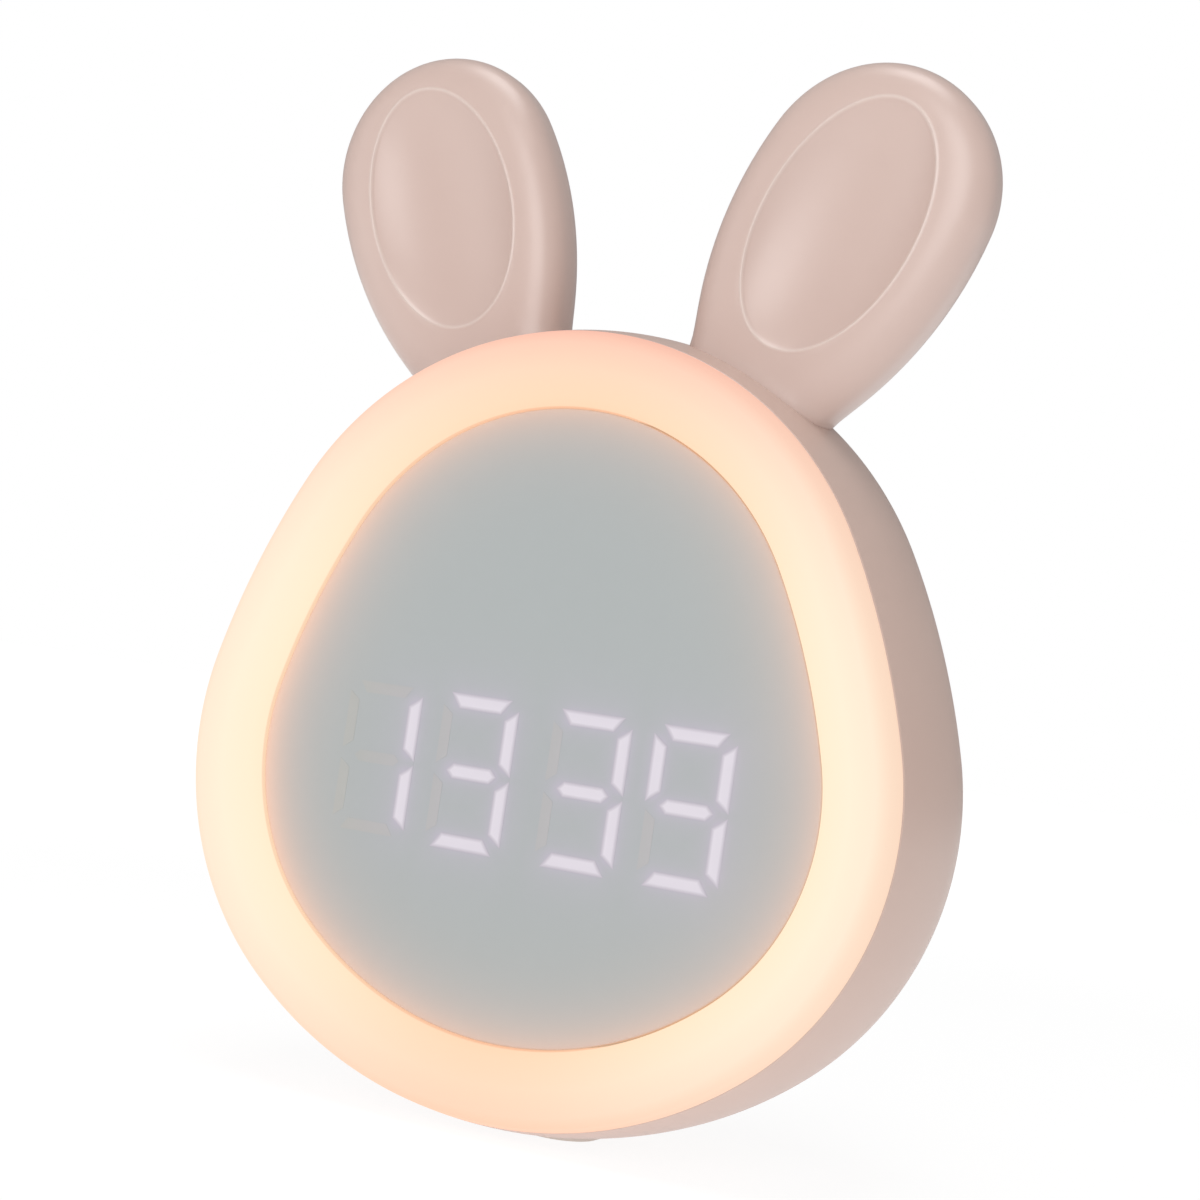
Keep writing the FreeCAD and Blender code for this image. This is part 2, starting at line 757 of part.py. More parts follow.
def build_ear_screw(side):
    """A washer-headed screw that draws an ear's stem to the shell from inside."""
    seat = f"({EAR_WALL_INSIDE} - Sizes.ear_screw_gap)"
    name = "right" if side > 0 else "left"
    head = upright_cylinder(
        name + "_ear_screw_head", side, "Sizes.ear_screw_head", f"{seat} - Sizes.screw_head_height", seat)
    shank = upright_cylinder(
        name + "_ear_screw_shank", side, "Sizes.screw_radius", f"{seat} - 1",
        f"{seat} + Sizes.ear_screw_length")
    return combine("Part::Fuse", name + "_ear_screw", head, shank)


build_ear(1, "right_ear")
build_ear(-1, "left_ear")
keep(gather("ear_screws", [build_ear_screw(1), build_ear_screw(-1)]), "ear_screws")


# Foot: a soft pad let into the underside, the only thing that touches the table
FOOT_DEPTH = f"({PANEL} + Sizes.foot_setback)"


def foot_block(name, grow, low, high):
    """A block of the foot's outline, grown outwards, between two heights."""
    body = new_body(name)
    sketch = add_sketch(body, "outline", "XY_Plane", low)
    draw_rounded_box(
        sketch, "0", FOOT_DEPTH, f"Sizes.foot_half_width + ({grow})",
        f"Sizes.foot_half_depth + ({grow})", f"Sizes.foot_corner + ({grow})")
    pad = body.newObject("PartDesign::Pad", "height")
    pad.Profile = sketch
    pad.setExpression("Length", f"({high}) - ({low})")
    body.Tip = pad
    doc.recompute()
    return body


keep(foot_block("foot_pad", "0", "0", "Sizes.foot_height"), "foot_pad")


# Places of the screws, as (across, up)
COVER_LUGS = [
    (f"{side} * Sizes.lug_{level}_x", f"Sizes.lug_{level}_z")
    for level in ("top", "low") for side in (1, -1)
]
TOP_SCREW_RUN = "(Sizes.crown_radius + Sizes.frame_screw_reach)"
LOW_SCREW_RUN = "(Sizes.cheek_radius + Sizes.frame_screw_reach)"
FRAME_SCREWS = [
    (f"{side} * {TOP_SCREW_RUN} * cos(Sizes.frame_screw_top_angle)",
     f"Sizes.crown_z + {TOP_SCREW_RUN} * sin(Sizes.frame_screw_top_angle)")
    for side in (1, -1)
] + [
    (f"{side} * (Sizes.cheek_x + {LOW_SCREW_RUN} * cos(Sizes.frame_screw_low_angle))",
     f"Sizes.cheek_z - {LOW_SCREW_RUN} * sin(Sizes.frame_screw_low_angle)")
    for side in (1, -1)
]
DISPLAY_SCREWS = [
    (f"{across} * (Sizes.display_board_width / 2 - Sizes.display_screw_end_margin)",
     f"Sizes.display_z + {up} * (Sizes.display_board_height / 2 - Sizes.display_screw_edge_margin)")
    for across in (1, -1) for up in (1, -1)
]
POSTS = [
    ("Sizes.post_side_x", "Sizes.post_side_z"),
    ("-Sizes.post_side_x", "Sizes.post_side_z"),
    ("0", "Sizes.post_low_z"),
]
DISPLAY_BOARD_BACK = f"({FRAME_BACK} + Sizes.board_thickness)"
LIGHT_BOX_HALF_WIDTH = "(Sizes.display_board_width / 2 - Sizes.light_box_end_margin)"
LIGHT_BOX_HALF_HEIGHT = "(Sizes.display_board_height / 2 - Sizes.light_box_edge_margin)"


# Body shell: the pink barrel between the light ring and the rear cover
def build_shell():
    body = new_body("shell_barrel")
    wall = "Sizes.shell_wall"
    inner_rim = "(Sizes.seam_reach - Sizes.rim_wall)"
    ledge_back = f"({FRAME_BACK} + Sizes.ledge_thickness)"
    flange_front = f"({SEAT} - Sizes.seat_thickness)"
    opening = "(-Sizes.cover_inset - Sizes.seat_width)"
    section = add_sketch(body, "section", "YZ_Plane")
    draw_path(section, [
        (SHELL_RIM, out(inner_rim)),
        (side_depth(inner_rim, wall), out(inner_rim), f"Sizes.side_radius - {wall}", -1),
        (FRAME_BACK, out(side_reach(FRAME_BACK, wall))),
        (FRAME_BACK, out("Sizes.ledge_reach")),
        (ledge_back, out("Sizes.ledge_reach")),
        (ledge_back, out(side_reach(ledge_back, wall)), f"Sizes.side_radius - {wall}", -1),
        (GIRTH, out(f"Sizes.girth_reach - {wall}"), f"{SHOULDER_RADIUS} - {wall}", -1),
        (*blend_point(wall), f"Sizes.rear_radius - {wall}", -1),
        (flange_front, out(back_reach(flange_front, wall))),
        (flange_front, out(opening)),
        (SEAT, out(opening)),
        (SEAT, out("-Sizes.cover_inset")),
        (back_depth("-Sizes.cover_inset"), out("-Sizes.cover_inset"), "Sizes.rear_radius", 1),
        (*blend_point(), SHOULDER_RADIUS, 1),
        (GIRTH, out("Sizes.girth_reach"), "Sizes.side_radius", 1),
        (SHELL_RIM, out(side_reach(SHELL_RIM))),
    ])
    sweep_round(body, "barrel", section)
    lug_front = f"({SEAT} - Sizes.lug_length)"
    frame_lug_back = f"({FRAME_BACK} + Sizes.frame_lug_length)"
    pad_circles(body, "cover_lugs", COVER_LUGS, "Sizes.lug_radius", lug_front, SEAT)
    pad_circles(body, "frame_lugs", FRAME_SCREWS, "Sizes.lug_radius", FRAME_BACK, frame_lug_back)
    pad_circles(
        body, "cover_lug_bores", COVER_LUGS, "Sizes.screw_radius + Sizes.screw_gap", lug_front, SEAT,
        pocket=True)
    pad_circles(
        body, "frame_lug_bores", FRAME_SCREWS, "Sizes.small_screw_radius + Sizes.screw_gap",
        FRAME_BACK, frame_lug_back, pocket=True)
    boss_top = "Sizes.foot_height + Sizes.foot_boss"
    boss = foot_block("foot_boss", "Sizes.foot_boss_margin", "Sizes.foot_proud", boss_top)
    boss_inside = combine("Part::Common", "foot_boss_inside", boss, envelope)
    with_boss = combine("Part::Fuse", "shell_with_boss", body, boss_inside)
    floor = add_box(
        "flat_underside", "-Sizes.foot_half_width * 4", "Sizes.foot_half_width * 4",
        FRONT, BACK, "-Sizes.foot_height * 2", "Sizes.foot_proud")
    recess = foot_block("foot_recess", "Sizes.foot_gap", "-Sizes.foot_height", "Sizes.foot_height")
    hole_radius = "Sizes.ear_stem_radius + Sizes.ear_stem_gap"
    holes = [
        upright_cylinder(name, side, hole_radius, "-Sizes.ear_stem_root", "Sizes.ear_stem_root * 2")
        for side, name in ((1, "right_stem_hole"), (-1, "left_stem_hole"))
    ]
    cutter = gather("shell_openings", [floor, recess] + holes)
    return keep(combine("Part::Cut", "body_shell", with_boss, cutter), "body_shell")


build_shell()


# Light ring: an opal channel, open towards the back, with a tongue inside the shell's rim
def build_light_ring():
    body = new_body("light_ring")
    lip = f"({PANEL} - Sizes.lip_rise)"
    run = f"({CORNER_CENTRE} - {SKIRT_INSIDE})"
    rise = f"({lip} - {FRONT})"
    crown_radius = f"(({run}^2 + {rise}^2) / (2 * {rise}))"
    share = "(Sizes.side_radius / (Sizes.side_radius - Sizes.corner_radius))"
    corner_end_depth = f"({GIRTH} - ({GIRTH} - {CORNER_CENTRE_DEPTH}) * {share})"
    corner_end_reach = f"({SIDE_CENTRE} + ({CORNER_CENTRE} - {SIDE_CENTRE}) * {share})"
    tongue_end = f"({SEAM} + Sizes.tongue_depth)"

    def ceiling(reach):
        inner_radius = f"({crown_radius} - Sizes.ring_wall)"
        return f"({FRONT} + {crown_radius} - sqrt({inner_radius}^2 - ({CORNER_CENTRE} - ({reach}))^2))"

    section = add_sketch(body, "section", "YZ_Plane")
    draw_path(section, [
        (lip, out(SKIRT_INSIDE), crown_radius, -1),
        (FRONT, out(CORNER_CENTRE), "Sizes.corner_radius", -1),
        (corner_end_depth, out(corner_end_reach), "Sizes.side_radius", -1),
        (SEAM, out("Sizes.seam_reach")),
        (SEAM, out(TONGUE_OUTSIDE)),
        (tongue_end, out(TONGUE_OUTSIDE)),
        (tongue_end, out(TONGUE_INSIDE)),
        (ceiling(TONGUE_INSIDE), out(TONGUE_INSIDE), f"{crown_radius} - Sizes.ring_wall", 1),
        (ceiling(SKIRT_OUTSIDE), out(SKIRT_OUTSIDE)),
        (FRAME, out(SKIRT_OUTSIDE)),
        (FRAME, out(SKIRT_INSIDE)),
    ])
    sweep_round(body, "channel", section)
    return keep(body, "light_ring")


build_light_ring()


# Inner frame: plate, wall that carries the face panel, and window for the figures
def build_inner_frame():
    body = new_body("inner_frame")
    pad_egg(body, "plate", "Sizes.frame_reach", FRAME, FRAME_BACK)
    pad_egg(body, "panel_seat", "-Sizes.seat_wall_inset", PANEL_BACK, FRAME)
    pocket_egg(body, "panel_well", "-Sizes.seat_wall_inset - Sizes.seat_wall", PANEL_BACK, FRAME)
    window = face_sketch(body, "window_outline", PANEL_BACK)
    draw_rounded_box(
        window, "0", "Sizes.display_z", f"{LIGHT_BOX_HALF_WIDTH} + Sizes.light_box_gap",
        f"{LIGHT_BOX_HALF_HEIGHT} + Sizes.light_box_gap", "Sizes.light_box_gap * 3")
    pocket_back(body, "window", window, f"{FRAME_BACK} - {PANEL_BACK}")
    pad_circles(
        body, "screw_holes", DISPLAY_SCREWS + FRAME_SCREWS,
        "Sizes.small_screw_radius + Sizes.screw_gap", FRAME, FRAME_BACK, pocket=True)
    return keep(body, "inner_frame")


build_inner_frame()


# Night light: a ring-shaped board under the light ring, with a row of lamps round it
LAMP_BOARD_FRONT = f"({FRAME} - Sizes.board_thickness)"
LAMP_BOARD_INNER = f"({SKIRT_OUTSIDE} + Sizes.ring_board_gap)"
LAMP_BOARD_OUTER = f"({TONGUE_INSIDE} - Sizes.ring_board_gap)"


def build_ring_board():
    body = new_body("ring_light_board")
    pad_egg(body, "sheet", LAMP_BOARD_OUTER, LAMP_BOARD_FRONT, FRAME)
    pocket_egg(body, "middle", LAMP_BOARD_INNER, LAMP_BOARD_FRONT, FRAME)
    pad_circles(
        body, "screw_holes", FRAME_SCREWS, "Sizes.small_screw_radius + Sizes.screw_gap",
        LAMP_BOARD_FRONT, FRAME, pocket=True)
    return keep(body, "ring_light_board")


build_ring_board()


def point_along(edges, distance):
    """The point that lies a distance along a closed line, and the heading there in degrees."""
    distance %= sum(edge.Length for edge in edges)
    for edge in edges:
        if distance <= edge.Length:
            break
        distance -= edge.Length
    parameter = edge.getParameterByLength(distance)
    heading = edge.tangentAt(parameter)
    return edge.valueAt(parameter), math.degrees(math.atan2(heading.z, heading.x))


def build_ring_leds():
    """Lamps at even steps along the middle line of their board, from its top, turned with it."""
    path = doc.addObject("Sketcher::SketchObject", "lamp_line")
    path.Placement = FreeCAD.Placement(
        FreeCAD.Vector(0, 0, 0), FreeCAD.Rotation(FreeCAD.Vector(1, 0, 0), 90))
    draw_egg(path, f"({LAMP_BOARD_INNER} + {LAMP_BOARD_OUTER}) / 2")
    doc.recompute()
    edges = path.Shape.Wires[0].OrderedEdges
    whole = sum(edge.Length for edge in edges)
    count = 2 * round(whole / number("Sizes.ring_led_pitch") / 2)
    length, width, height = (number(f"Sizes.led_{size}") for size in ("length", "width", "height"))
    front = number(LAMP_BOARD_FRONT) - height
    lamps = []
    for step in range(count):
        point, heading = point_along(edges, edges[0].Length + step * whole / count)
        lamp = Part.makeBox(length, height, width, FreeCAD.Vector(-length / 2, 0, -width / 2))
        lamp.Placement = FreeCAD.Placement(
            FreeCAD.Vector(point.x, front, point.z), FreeCAD.Rotation(FreeCAD.Vector(0, -1, 0), heading))
        lamps.append(lamp)
    group = doc.addObject("Part::Feature", "ring_leds")
    group.Shape = Part.makeCompound(lamps)
    return keep(group, "ring_leds")


build_ring_leds()


# Figures: bars of four seven-segment figures, lit and unlit, in wells of one light box
def bar_outline(points, across, up):
    corners = [FreeCAD.Vector(across + x, 0, up + z) for x, z in points]
    return Part.Face(Part.makePolygon(corners + corners[:1]))


def mitred_bar(long_side, outward):
    """A level bar whose outer side is longer than its inner side. Outward is 1 when its outer
    side faces up and -1 when it faces down."""
    half = number(long_side) / 2
    bevel = number("Sizes.bevel")
    stroke = number("Sizes.stroke") / 2 * outward
    return [(-half, stroke), (half, stroke), (half - bevel, -stroke), (bevel - half, -stroke)]


def middle_bar():
    half = number("Sizes.middle_long") / 2
    stroke = number("Sizes.stroke") / 2
    return [
        (-half, 0), (stroke - half, stroke), (half - stroke, stroke),
        (half, 0), (half - stroke, -stroke), (stroke - half, -stroke),
    ]


def figure_bars():
    """Outline and place in the figure of each bar, by its usual letter."""
    rise = number("Sizes.figure_height") / 2
    half = number("Sizes.figure_width") / 2
    shift = number("Sizes.post_shift")
    top = mitred_bar("Sizes.bar_long", 1)
    low = mitred_bar("Sizes.bar_long", -1)
    right = [(z, x) for x, z in mitred_bar("Sizes.post_long", 1)]
    left = [(z, x) for x, z in mitred_bar("Sizes.post_long", -1)]
    return {
        "a": (top, 0, rise),
        "b": (right, half, shift),
        "c": (right, half, -shift),
        "d": (low, 0, -rise),
        "e": (left, -half, -shift),
        "f": (left, -half, shift),
        "g": (middle_bar(), 0, 0),
    }


def figure_places():
    """Middle of each figure across the face, two each side of the colon."""
    inner = number("Sizes.colon_gap") / 2
    outer = inner + number("Sizes.figure_pitch")
    return [-outer, -inner, inner, outer]


def build_figures():
    """The lit bars, the unlit bars, the colon's dots, the lamps behind them all, and the wells
    that hold them through the panel and the light box."""
    front = number(f"{PANEL} + Sizes.segment_sink")
    thickness = number(f"{PANEL_BACK} + Sizes.segment_root") - front
    mouth = number(FRONT)
    back = number(FRAME_BACK)
    height = number("Sizes.led_height")
    level = number("Sizes.display_z")
    lit, dark, wells, lamps = [], [], [], []
    places = []
    for figure, across in zip(FIGURES_SHOWN, figure_places()):
        for letter, (points, shift_x, shift_z) in figure_bars().items():
            face = bar_outline(points, across + shift_x, level + shift_z)
            bar = face.translated(FreeCAD.Vector(0, front, 0)).extrude(FreeCAD.Vector(0, thickness, 0))
            (lit if letter in BARS_LIT[figure] else dark).append(bar)
            well = face.translated(FreeCAD.Vector(0, mouth, 0))
            wells.append(well.extrude(FreeCAD.Vector(0, back - mouth, 0)))
            places.append((across + shift_x, level + shift_z))
    dots = []
    radius = number("Sizes.colon_radius")
    for up in (1, -1):
        rise = level + up * number("Sizes.colon_spread") / 2
        depth = FreeCAD.Vector(0, 1, 0)
        dots.append(Part.makeCylinder(radius, thickness, FreeCAD.Vector(0, front, rise), depth))
        wells.append(Part.makeCylinder(radius, back - mouth, FreeCAD.Vector(0, mouth, rise), depth))
        places.append((0, rise))
    half = number("Sizes.bar_lamp") / 2
    for across, up in places:
        corner = FreeCAD.Vector(across - half, back - height, up - half)
        lamps.append(Part.makeBox(2 * half, height, 2 * half, corner))
    for name, solids in (
            ("lit_segments", lit), ("dark_segments", dark), ("colon_dots", dots),
            ("display_leds", lamps)):
        group = doc.addObject("Part::Feature", name)
        group.Shape = Part.makeCompound(solids)
        keep(group, name)
    cutter = doc.addObject("Part::Feature", "segment_wells")
    cutter.Shape = Part.makeCompound(wells)
    return cutter


# Face panel: tinted acrylic with the ring's inner edge as its outline and a window for each bar
def build_face_panel(wells):
    body = new_body("panel_sheet")
    pad_egg(body, "sheet", "0", PANEL, PANEL_BACK)
    return keep(combine("Part::Cut", "face_panel", body, wells), "face_panel")


def build_segment_housing(wells):
    block = add_box(
        "light_box", f"-{LIGHT_BOX_HALF_WIDTH}", LIGHT_BOX_HALF_WIDTH, PANEL_BACK, FRAME_BACK,
        f"Sizes.display_z - {LIGHT_BOX_HALF_HEIGHT}", f"Sizes.display_z + {LIGHT_BOX_HALF_HEIGHT}")
    return keep(combine("Part::Cut", "segment_housing", block, wells), "segment_housing")


segment_wells = build_figures()
build_face_panel(segment_wells)
build_segment_housing(segment_wells)


def build_display_board():
    body = new_body("display_board")
    outline = face_sketch(body, "outline", FRAME_BACK)
    draw_rounded_box(
        outline, "0", "Sizes.display_z", "Sizes.display_board_width / 2",
        "Sizes.display_board_height / 2", "Sizes.small_head_radius")
    pad_back(body, "sheet", outline, "Sizes.board_thickness")
    pad_circles(
        body, "screw_holes", DISPLAY_SCREWS, "Sizes.small_screw_radius + Sizes.screw_gap",
        FRAME_BACK, DISPLAY_BOARD_BACK, pocket=True)
    return keep(body, "display_board")


build_display_board()


def build_screws(name, places, seat, toward, radius, length, head_radius, head_height):
    """Screws with cylinder heads. Each head stands from its seat away from the shank, and
    toward is 1 where the shanks point to the front."""
    seat = f"({seat})"
    body = new_body(name)
    body.AllowCompound = True
    if toward > 0:
        shank = (f"{seat} - {length}", seat)
        head = (seat, f"{seat} + {head_height}")
    else:
        shank = (seat, f"{seat} + {length}")
        head = (f"{seat} - {head_height}", seat)
    pad_circles(body, "heads", places, head_radius, *head)
    pad_circles(body, "shanks", places, radius, *shank)
    return keep(body, name)


COVER_SCREW_SEAT = f"({BACK} - Sizes.screw_seat_depth)"
build_screws(
    "display_screws", DISPLAY_SCREWS, DISPLAY_BOARD_BACK, 1, "Sizes.small_screw_radius",
    "(Sizes.board_thickness + Sizes.frame_thickness)", "Sizes.small_head_radius",
    "Sizes.small_head_height")
build_screws(
    "frame_screws", FRAME_SCREWS, LAMP_BOARD_FRONT, -1, "Sizes.small_screw_radius",
    "(Sizes.board_thickness + Sizes.frame_thickness + Sizes.frame_lug_length)",
    "Sizes.small_head_radius", "Sizes.small_head_height")
build_screws(
    "cover_screws", COVER_LUGS, COVER_SCREW_SEAT, 1, "Sizes.screw_radius", "Sizes.screw_length",
    "Sizes.screw_head_radius", "Sizes.screw_head_height")


# Keypad places, from the alarm key on the left seen from the front
KEYS = [
    (name, f"({index - (len(KEY_NAMES) - 1) / 2} * Sizes.key_pitch)")
    for index, name in enumerate(KEY_NAMES)
]
KEY_PLACES = [(across, "Sizes.key_z") for name, across in KEYS]
SWITCH_TOP = f"({BOARD_BACK} + Sizes.switch_height)"
PLUNGER_TOP = f"({SWITCH_TOP} + Sizes.key_travel + Sizes.plunger_rest)"
SLIDE_TOP = f"({BOARD_BACK} + Sizes.slide_case_height)"
SLIDER_X = "(-Sizes.slider_x)"


# Rear cover: domed lid with the keypad recess, grille, socket and switch openings
def build_rear_cover():
    body = new_body("cover_lid")
    pad_egg(body, "lid", "-Sizes.cover_inset - Sizes.cover_gap", SEAT, BACK)
    pocket_egg(body, "hollow", "-Sizes.cover_inset - Sizes.cover_rim", SEAT, COVER_INSIDE)
    pad_circles(
        body, "screw_bosses", COVER_LUGS, "Sizes.lug_radius + Sizes.cover_boss_wall", SEAT, COVER_INSIDE)
    pad_circles(body, "board_posts", POSTS, "Sizes.post_radius", BOARD_BACK, COVER_INSIDE)
    pad_circles(
        body, "post_bores", POSTS, "Sizes.small_screw_radius + Sizes.screw_gap", BOARD_BACK,
        f"({BOARD_BACK} + Sizes.small_screw_length)", pocket=True)
    pad_circles(
        body, "screw_holes", COVER_LUGS, "Sizes.screw_radius + Sizes.screw_clearance", SEAT, BACK,
        pocket=True)
    pad_circles(
        body, "screw_heads", COVER_LUGS, "Sizes.screw_head_radius + Sizes.screw_clearance",
        COVER_SCREW_SEAT, BACK, pocket=True)
    keypad = face_sketch(body, "keypad_outline", f"({BACK} - Sizes.keypad_sink)")
    draw_slot(
        keypad, "0", "Sizes.key_z", f"{(len(KEY_NAMES) - 1) / 2} * Sizes.key_pitch",
        "Sizes.keypad_radius")
    pocket_back(body, "keypad", keypad, "Sizes.keypad_sink")
    pad_circles(
        body, "key_holes", KEY_PLACES, "Sizes.key_radius + Sizes.key_gap", COVER_INSIDE, BACK,
        pocket=True)
    grille = face_sketch(body, "grille_outline", COVER_INSIDE)
    for step in range(-3, 4):
        up = f"({step} * Sizes.slot_pitch)"
        half_run = f"(sqrt(Sizes.grille_radius^2 - {up}^2) - Sizes.slot_width / 2)"
        draw_slot(grille, "0", f"Sizes.speaker_z + {up}", half_run, "Sizes.slot_width / 2")
    pocket_back(body, "grille", grille, "Sizes.cover_wall")
    socket = face_sketch(body, "socket_outline", COVER_INSIDE)
    draw_slot(
        socket, "Sizes.socket_x", "Sizes.socket_z",
        "Sizes.socket_half_width - Sizes.socket_half_height",
        "Sizes.socket_half_height + Sizes.socket_gap")
    pocket_back(body, "socket_hole", socket, "Sizes.cover_wall")
    slider = face_sketch(body, "slider_outline", COVER_INSIDE)
    draw_rounded_box(
        slider, f"{SLIDER_X} + Sizes.slider_travel / 2", "Sizes.socket_z",
        "Sizes.slider_half_width + Sizes.slider_travel / 2 + Sizes.slider_gap",
        "Sizes.slider_half_height + Sizes.slider_gap", "Sizes.slider_gap * 2")
    pocket_back(body, "slider_slot", slider, "Sizes.cover_wall")
    return keep(combine("Part::Common", "rear_cover", body, envelope), "rear_cover")


build_rear_cover()


# Main board on the cover's posts, with the key switches, slide switch and charging socket
def build_main_board():
    body = new_body("main_board")
    outline = face_sketch(body, "outline", f"({BOARD_BACK} - Sizes.board_thickness)")
    draw_rounded_box(
        outline, "0", "(Sizes.main_board_top + Sizes.main_board_low) / 2",
        "Sizes.main_board_half_width", "(Sizes.main_board_top - Sizes.main_board_low) / 2",
        "Sizes.main_board_corner")
    pad_back(body, "sheet", outline, "Sizes.board_thickness")
    pad_circles(
        body, "post_holes", POSTS, "Sizes.small_screw_radius + Sizes.screw_gap",
        f"({BOARD_BACK} - Sizes.board_thickness)", BOARD_BACK, pocket=True)
    return keep(body, "main_board")


build_main_board()
build_screws(
    "board_screws", POSTS, f"{BOARD_BACK} - Sizes.board_thickness", -1, "Sizes.small_screw_radius",
    "Sizes.small_screw_length", "Sizes.small_head_radius", "Sizes.small_head_height")


def build_key_switches():
    body = new_body("key_switches")
    body.AllowCompound = True
    outline = face_sketch(body, "outline", BOARD_BACK)
    for across, up in KEY_PLACES:
        draw_rounded_box(
            outline, across, up, "Sizes.switch_size / 2", "Sizes.switch_size / 2", "Sizes.key_edge")
    pad_back(body, "cases", outline, "Sizes.switch_height")
    pad_circles(
        body, "wells", KEY_PLACES, "Sizes.plunger_radius + Sizes.plunger_gap",
        f"({SWITCH_TOP} - Sizes.plunger_well)", SWITCH_TOP, pocket=True)
    return keep(body, "key_switches")


build_key_switches()


def turned_about_depth(body, name, corners):
    """Turns an outline of (radius, depth) corners once round the depth axis."""
    sketch = add_sketch(body, name + "_outline", "XY_Plane")
    draw_path(sketch, corners)
    turn = body.newObject("PartDesign::Revolution", name)
    turn.Profile = sketch
    turn.ReferenceAxis = (sketch, ["V_Axis"])
    turn.Angle = 360
    body.Tip = turn
    doc.recompute()
    return turn


def build_key(name, across):
    """A round key with a soft edge, a flange behind the cover and a stem, and the plunger
    of the switch under it."""
    top = f"({BACK} - Sizes.key_sink)"
    flange_back = f"({COVER_INSIDE} - Sizes.key_play)"
    flange_front = f"({flange_back} - Sizes.key_flange)"
    key = new_body(name + "_key")
    turned_about_depth(key, "turning", [
        ("0", PLUNGER_TOP),
        ("Sizes.key_stem_radius", PLUNGER_TOP),
        ("Sizes.key_stem_radius", flange_front),
        ("Sizes.key_flange_radius", flange_front),
        ("Sizes.key_flange_radius", flange_back),
        ("Sizes.key_radius", flange_back),
        ("Sizes.key_radius", f"{top} - Sizes.key_edge", "Sizes.key_edge", 1),
        ("Sizes.key_radius - Sizes.key_edge", top),
        ("0", top),
    ])
    plunger = new_body(name + "_plunger")
    low = f"({SWITCH_TOP} - Sizes.plunger_root)"
    turned_about_depth(plunger, "turning", [
        ("0", low), ("Sizes.plunger_radius", low),
        ("Sizes.plunger_radius", PLUNGER_TOP), ("0", PLUNGER_TOP),
    ])
    for item in (key, plunger):
        item.setExpression("Placement.Base.x", across)
        item.setExpression("Placement.Base.z", "Sizes.key_z")
        keep(item, item.Name)
    doc.recompute()


for key_name, key_across in KEYS:
    build_key(key_name, key_across)


# Power switch: a metal case on the board and the slider that comes out through the cover
def build_power_switch():
    case = new_body("slide_switch")
    middle = f"{SLIDER_X} + Sizes.slider_travel / 2"
    outline = face_sketch(case, "outline", BOARD_BACK)
    draw_rounded_box(
        outline, middle, "Sizes.socket_z", "Sizes.slide_case_half_width",
        "Sizes.slide_case_half_height", "Sizes.slider_gap")
    pad_back(case, "can", outline, "Sizes.slide_case_height")
    well = face_sketch(case, "well_outline", f"({SLIDE_TOP} - Sizes.slider_well)")
    draw_rounded_box(
        well, middle, "Sizes.socket_z",
        "Sizes.slider_half_width + Sizes.slider_travel / 2 + Sizes.slider_gap",
        "Sizes.slider_half_height + Sizes.slider_gap", "Sizes.slider_gap")
    pocket_back(case, "well", well, "Sizes.slider_well")
    keep(case, "slide_switch")
    slider = new_body("power_slider")
    root = f"({SLIDE_TOP} - Sizes.slider_root)"
    stem = face_sketch(slider, "stem_outline", root)
    draw_rounded_box(
        stem, SLIDER_X, "Sizes.socket_z", "Sizes.slider_half_width", "Sizes.slider_half_height",
        "Sizes.slider_gap")
    pad_back(slider, "stem", stem, f"{BACK} - Sizes.slider_sink - {root}")
    flange_back = f"({COVER_INSIDE} - Sizes.slider_flange_gap)"
    flange = face_sketch(slider, "flange_outline", f"({flange_back} - Sizes.slider_flange)")
    draw_rounded_box(
        flange, SLIDER_X, "Sizes.socket_z", "Sizes.slider_half_width + Sizes.slider_travel",
        "Sizes.slider_half_height + Sizes.slider_flange * 2", "Sizes.slider_gap")
    pad_back(slider, "flange", flange, "Sizes.slider_flange")
    return keep(slider, "power_slider")


build_power_switch()


def build_charge_socket():
    """An upright socket: a rounded metal mouth round a flat tongue."""
    body = new_body("charge_socket")
    mouth = f"({BACK} - Sizes.socket_sink)"
    floor = f"({mouth} - Sizes.socket_well)"
    half_run = "Sizes.socket_half_width - Sizes.socket_half_height"
    outline = face_sketch(body, "outline", BOARD_BACK)
    draw_slot(outline, "Sizes.socket_x", "Sizes.socket_z", half_run, "Sizes.socket_half_height")
    pad_back(body, "can", outline, f"{mouth} - {BOARD_BACK}")
    well = face_sketch(body, "well_outline", floor)
    draw_slot(
        well, "Sizes.socket_x", "Sizes.socket_z", half_run,
        "Sizes.socket_half_height - Sizes.socket_wall")
    pocket_back(body, "well", well, "Sizes.socket_well")
    tongue = face_sketch(body, "tongue_outline", floor)
    draw_rounded_box(
        tongue, "Sizes.socket_x", "Sizes.socket_z", "Sizes.socket_tongue_half",
        "Sizes.socket_tongue", "Sizes.socket_tongue / 2")
    pad_back(body, "tongue", tongue, "Sizes.socket_well - Sizes.socket_wall")
    return keep(body, "charge_socket")


build_charge_socket()


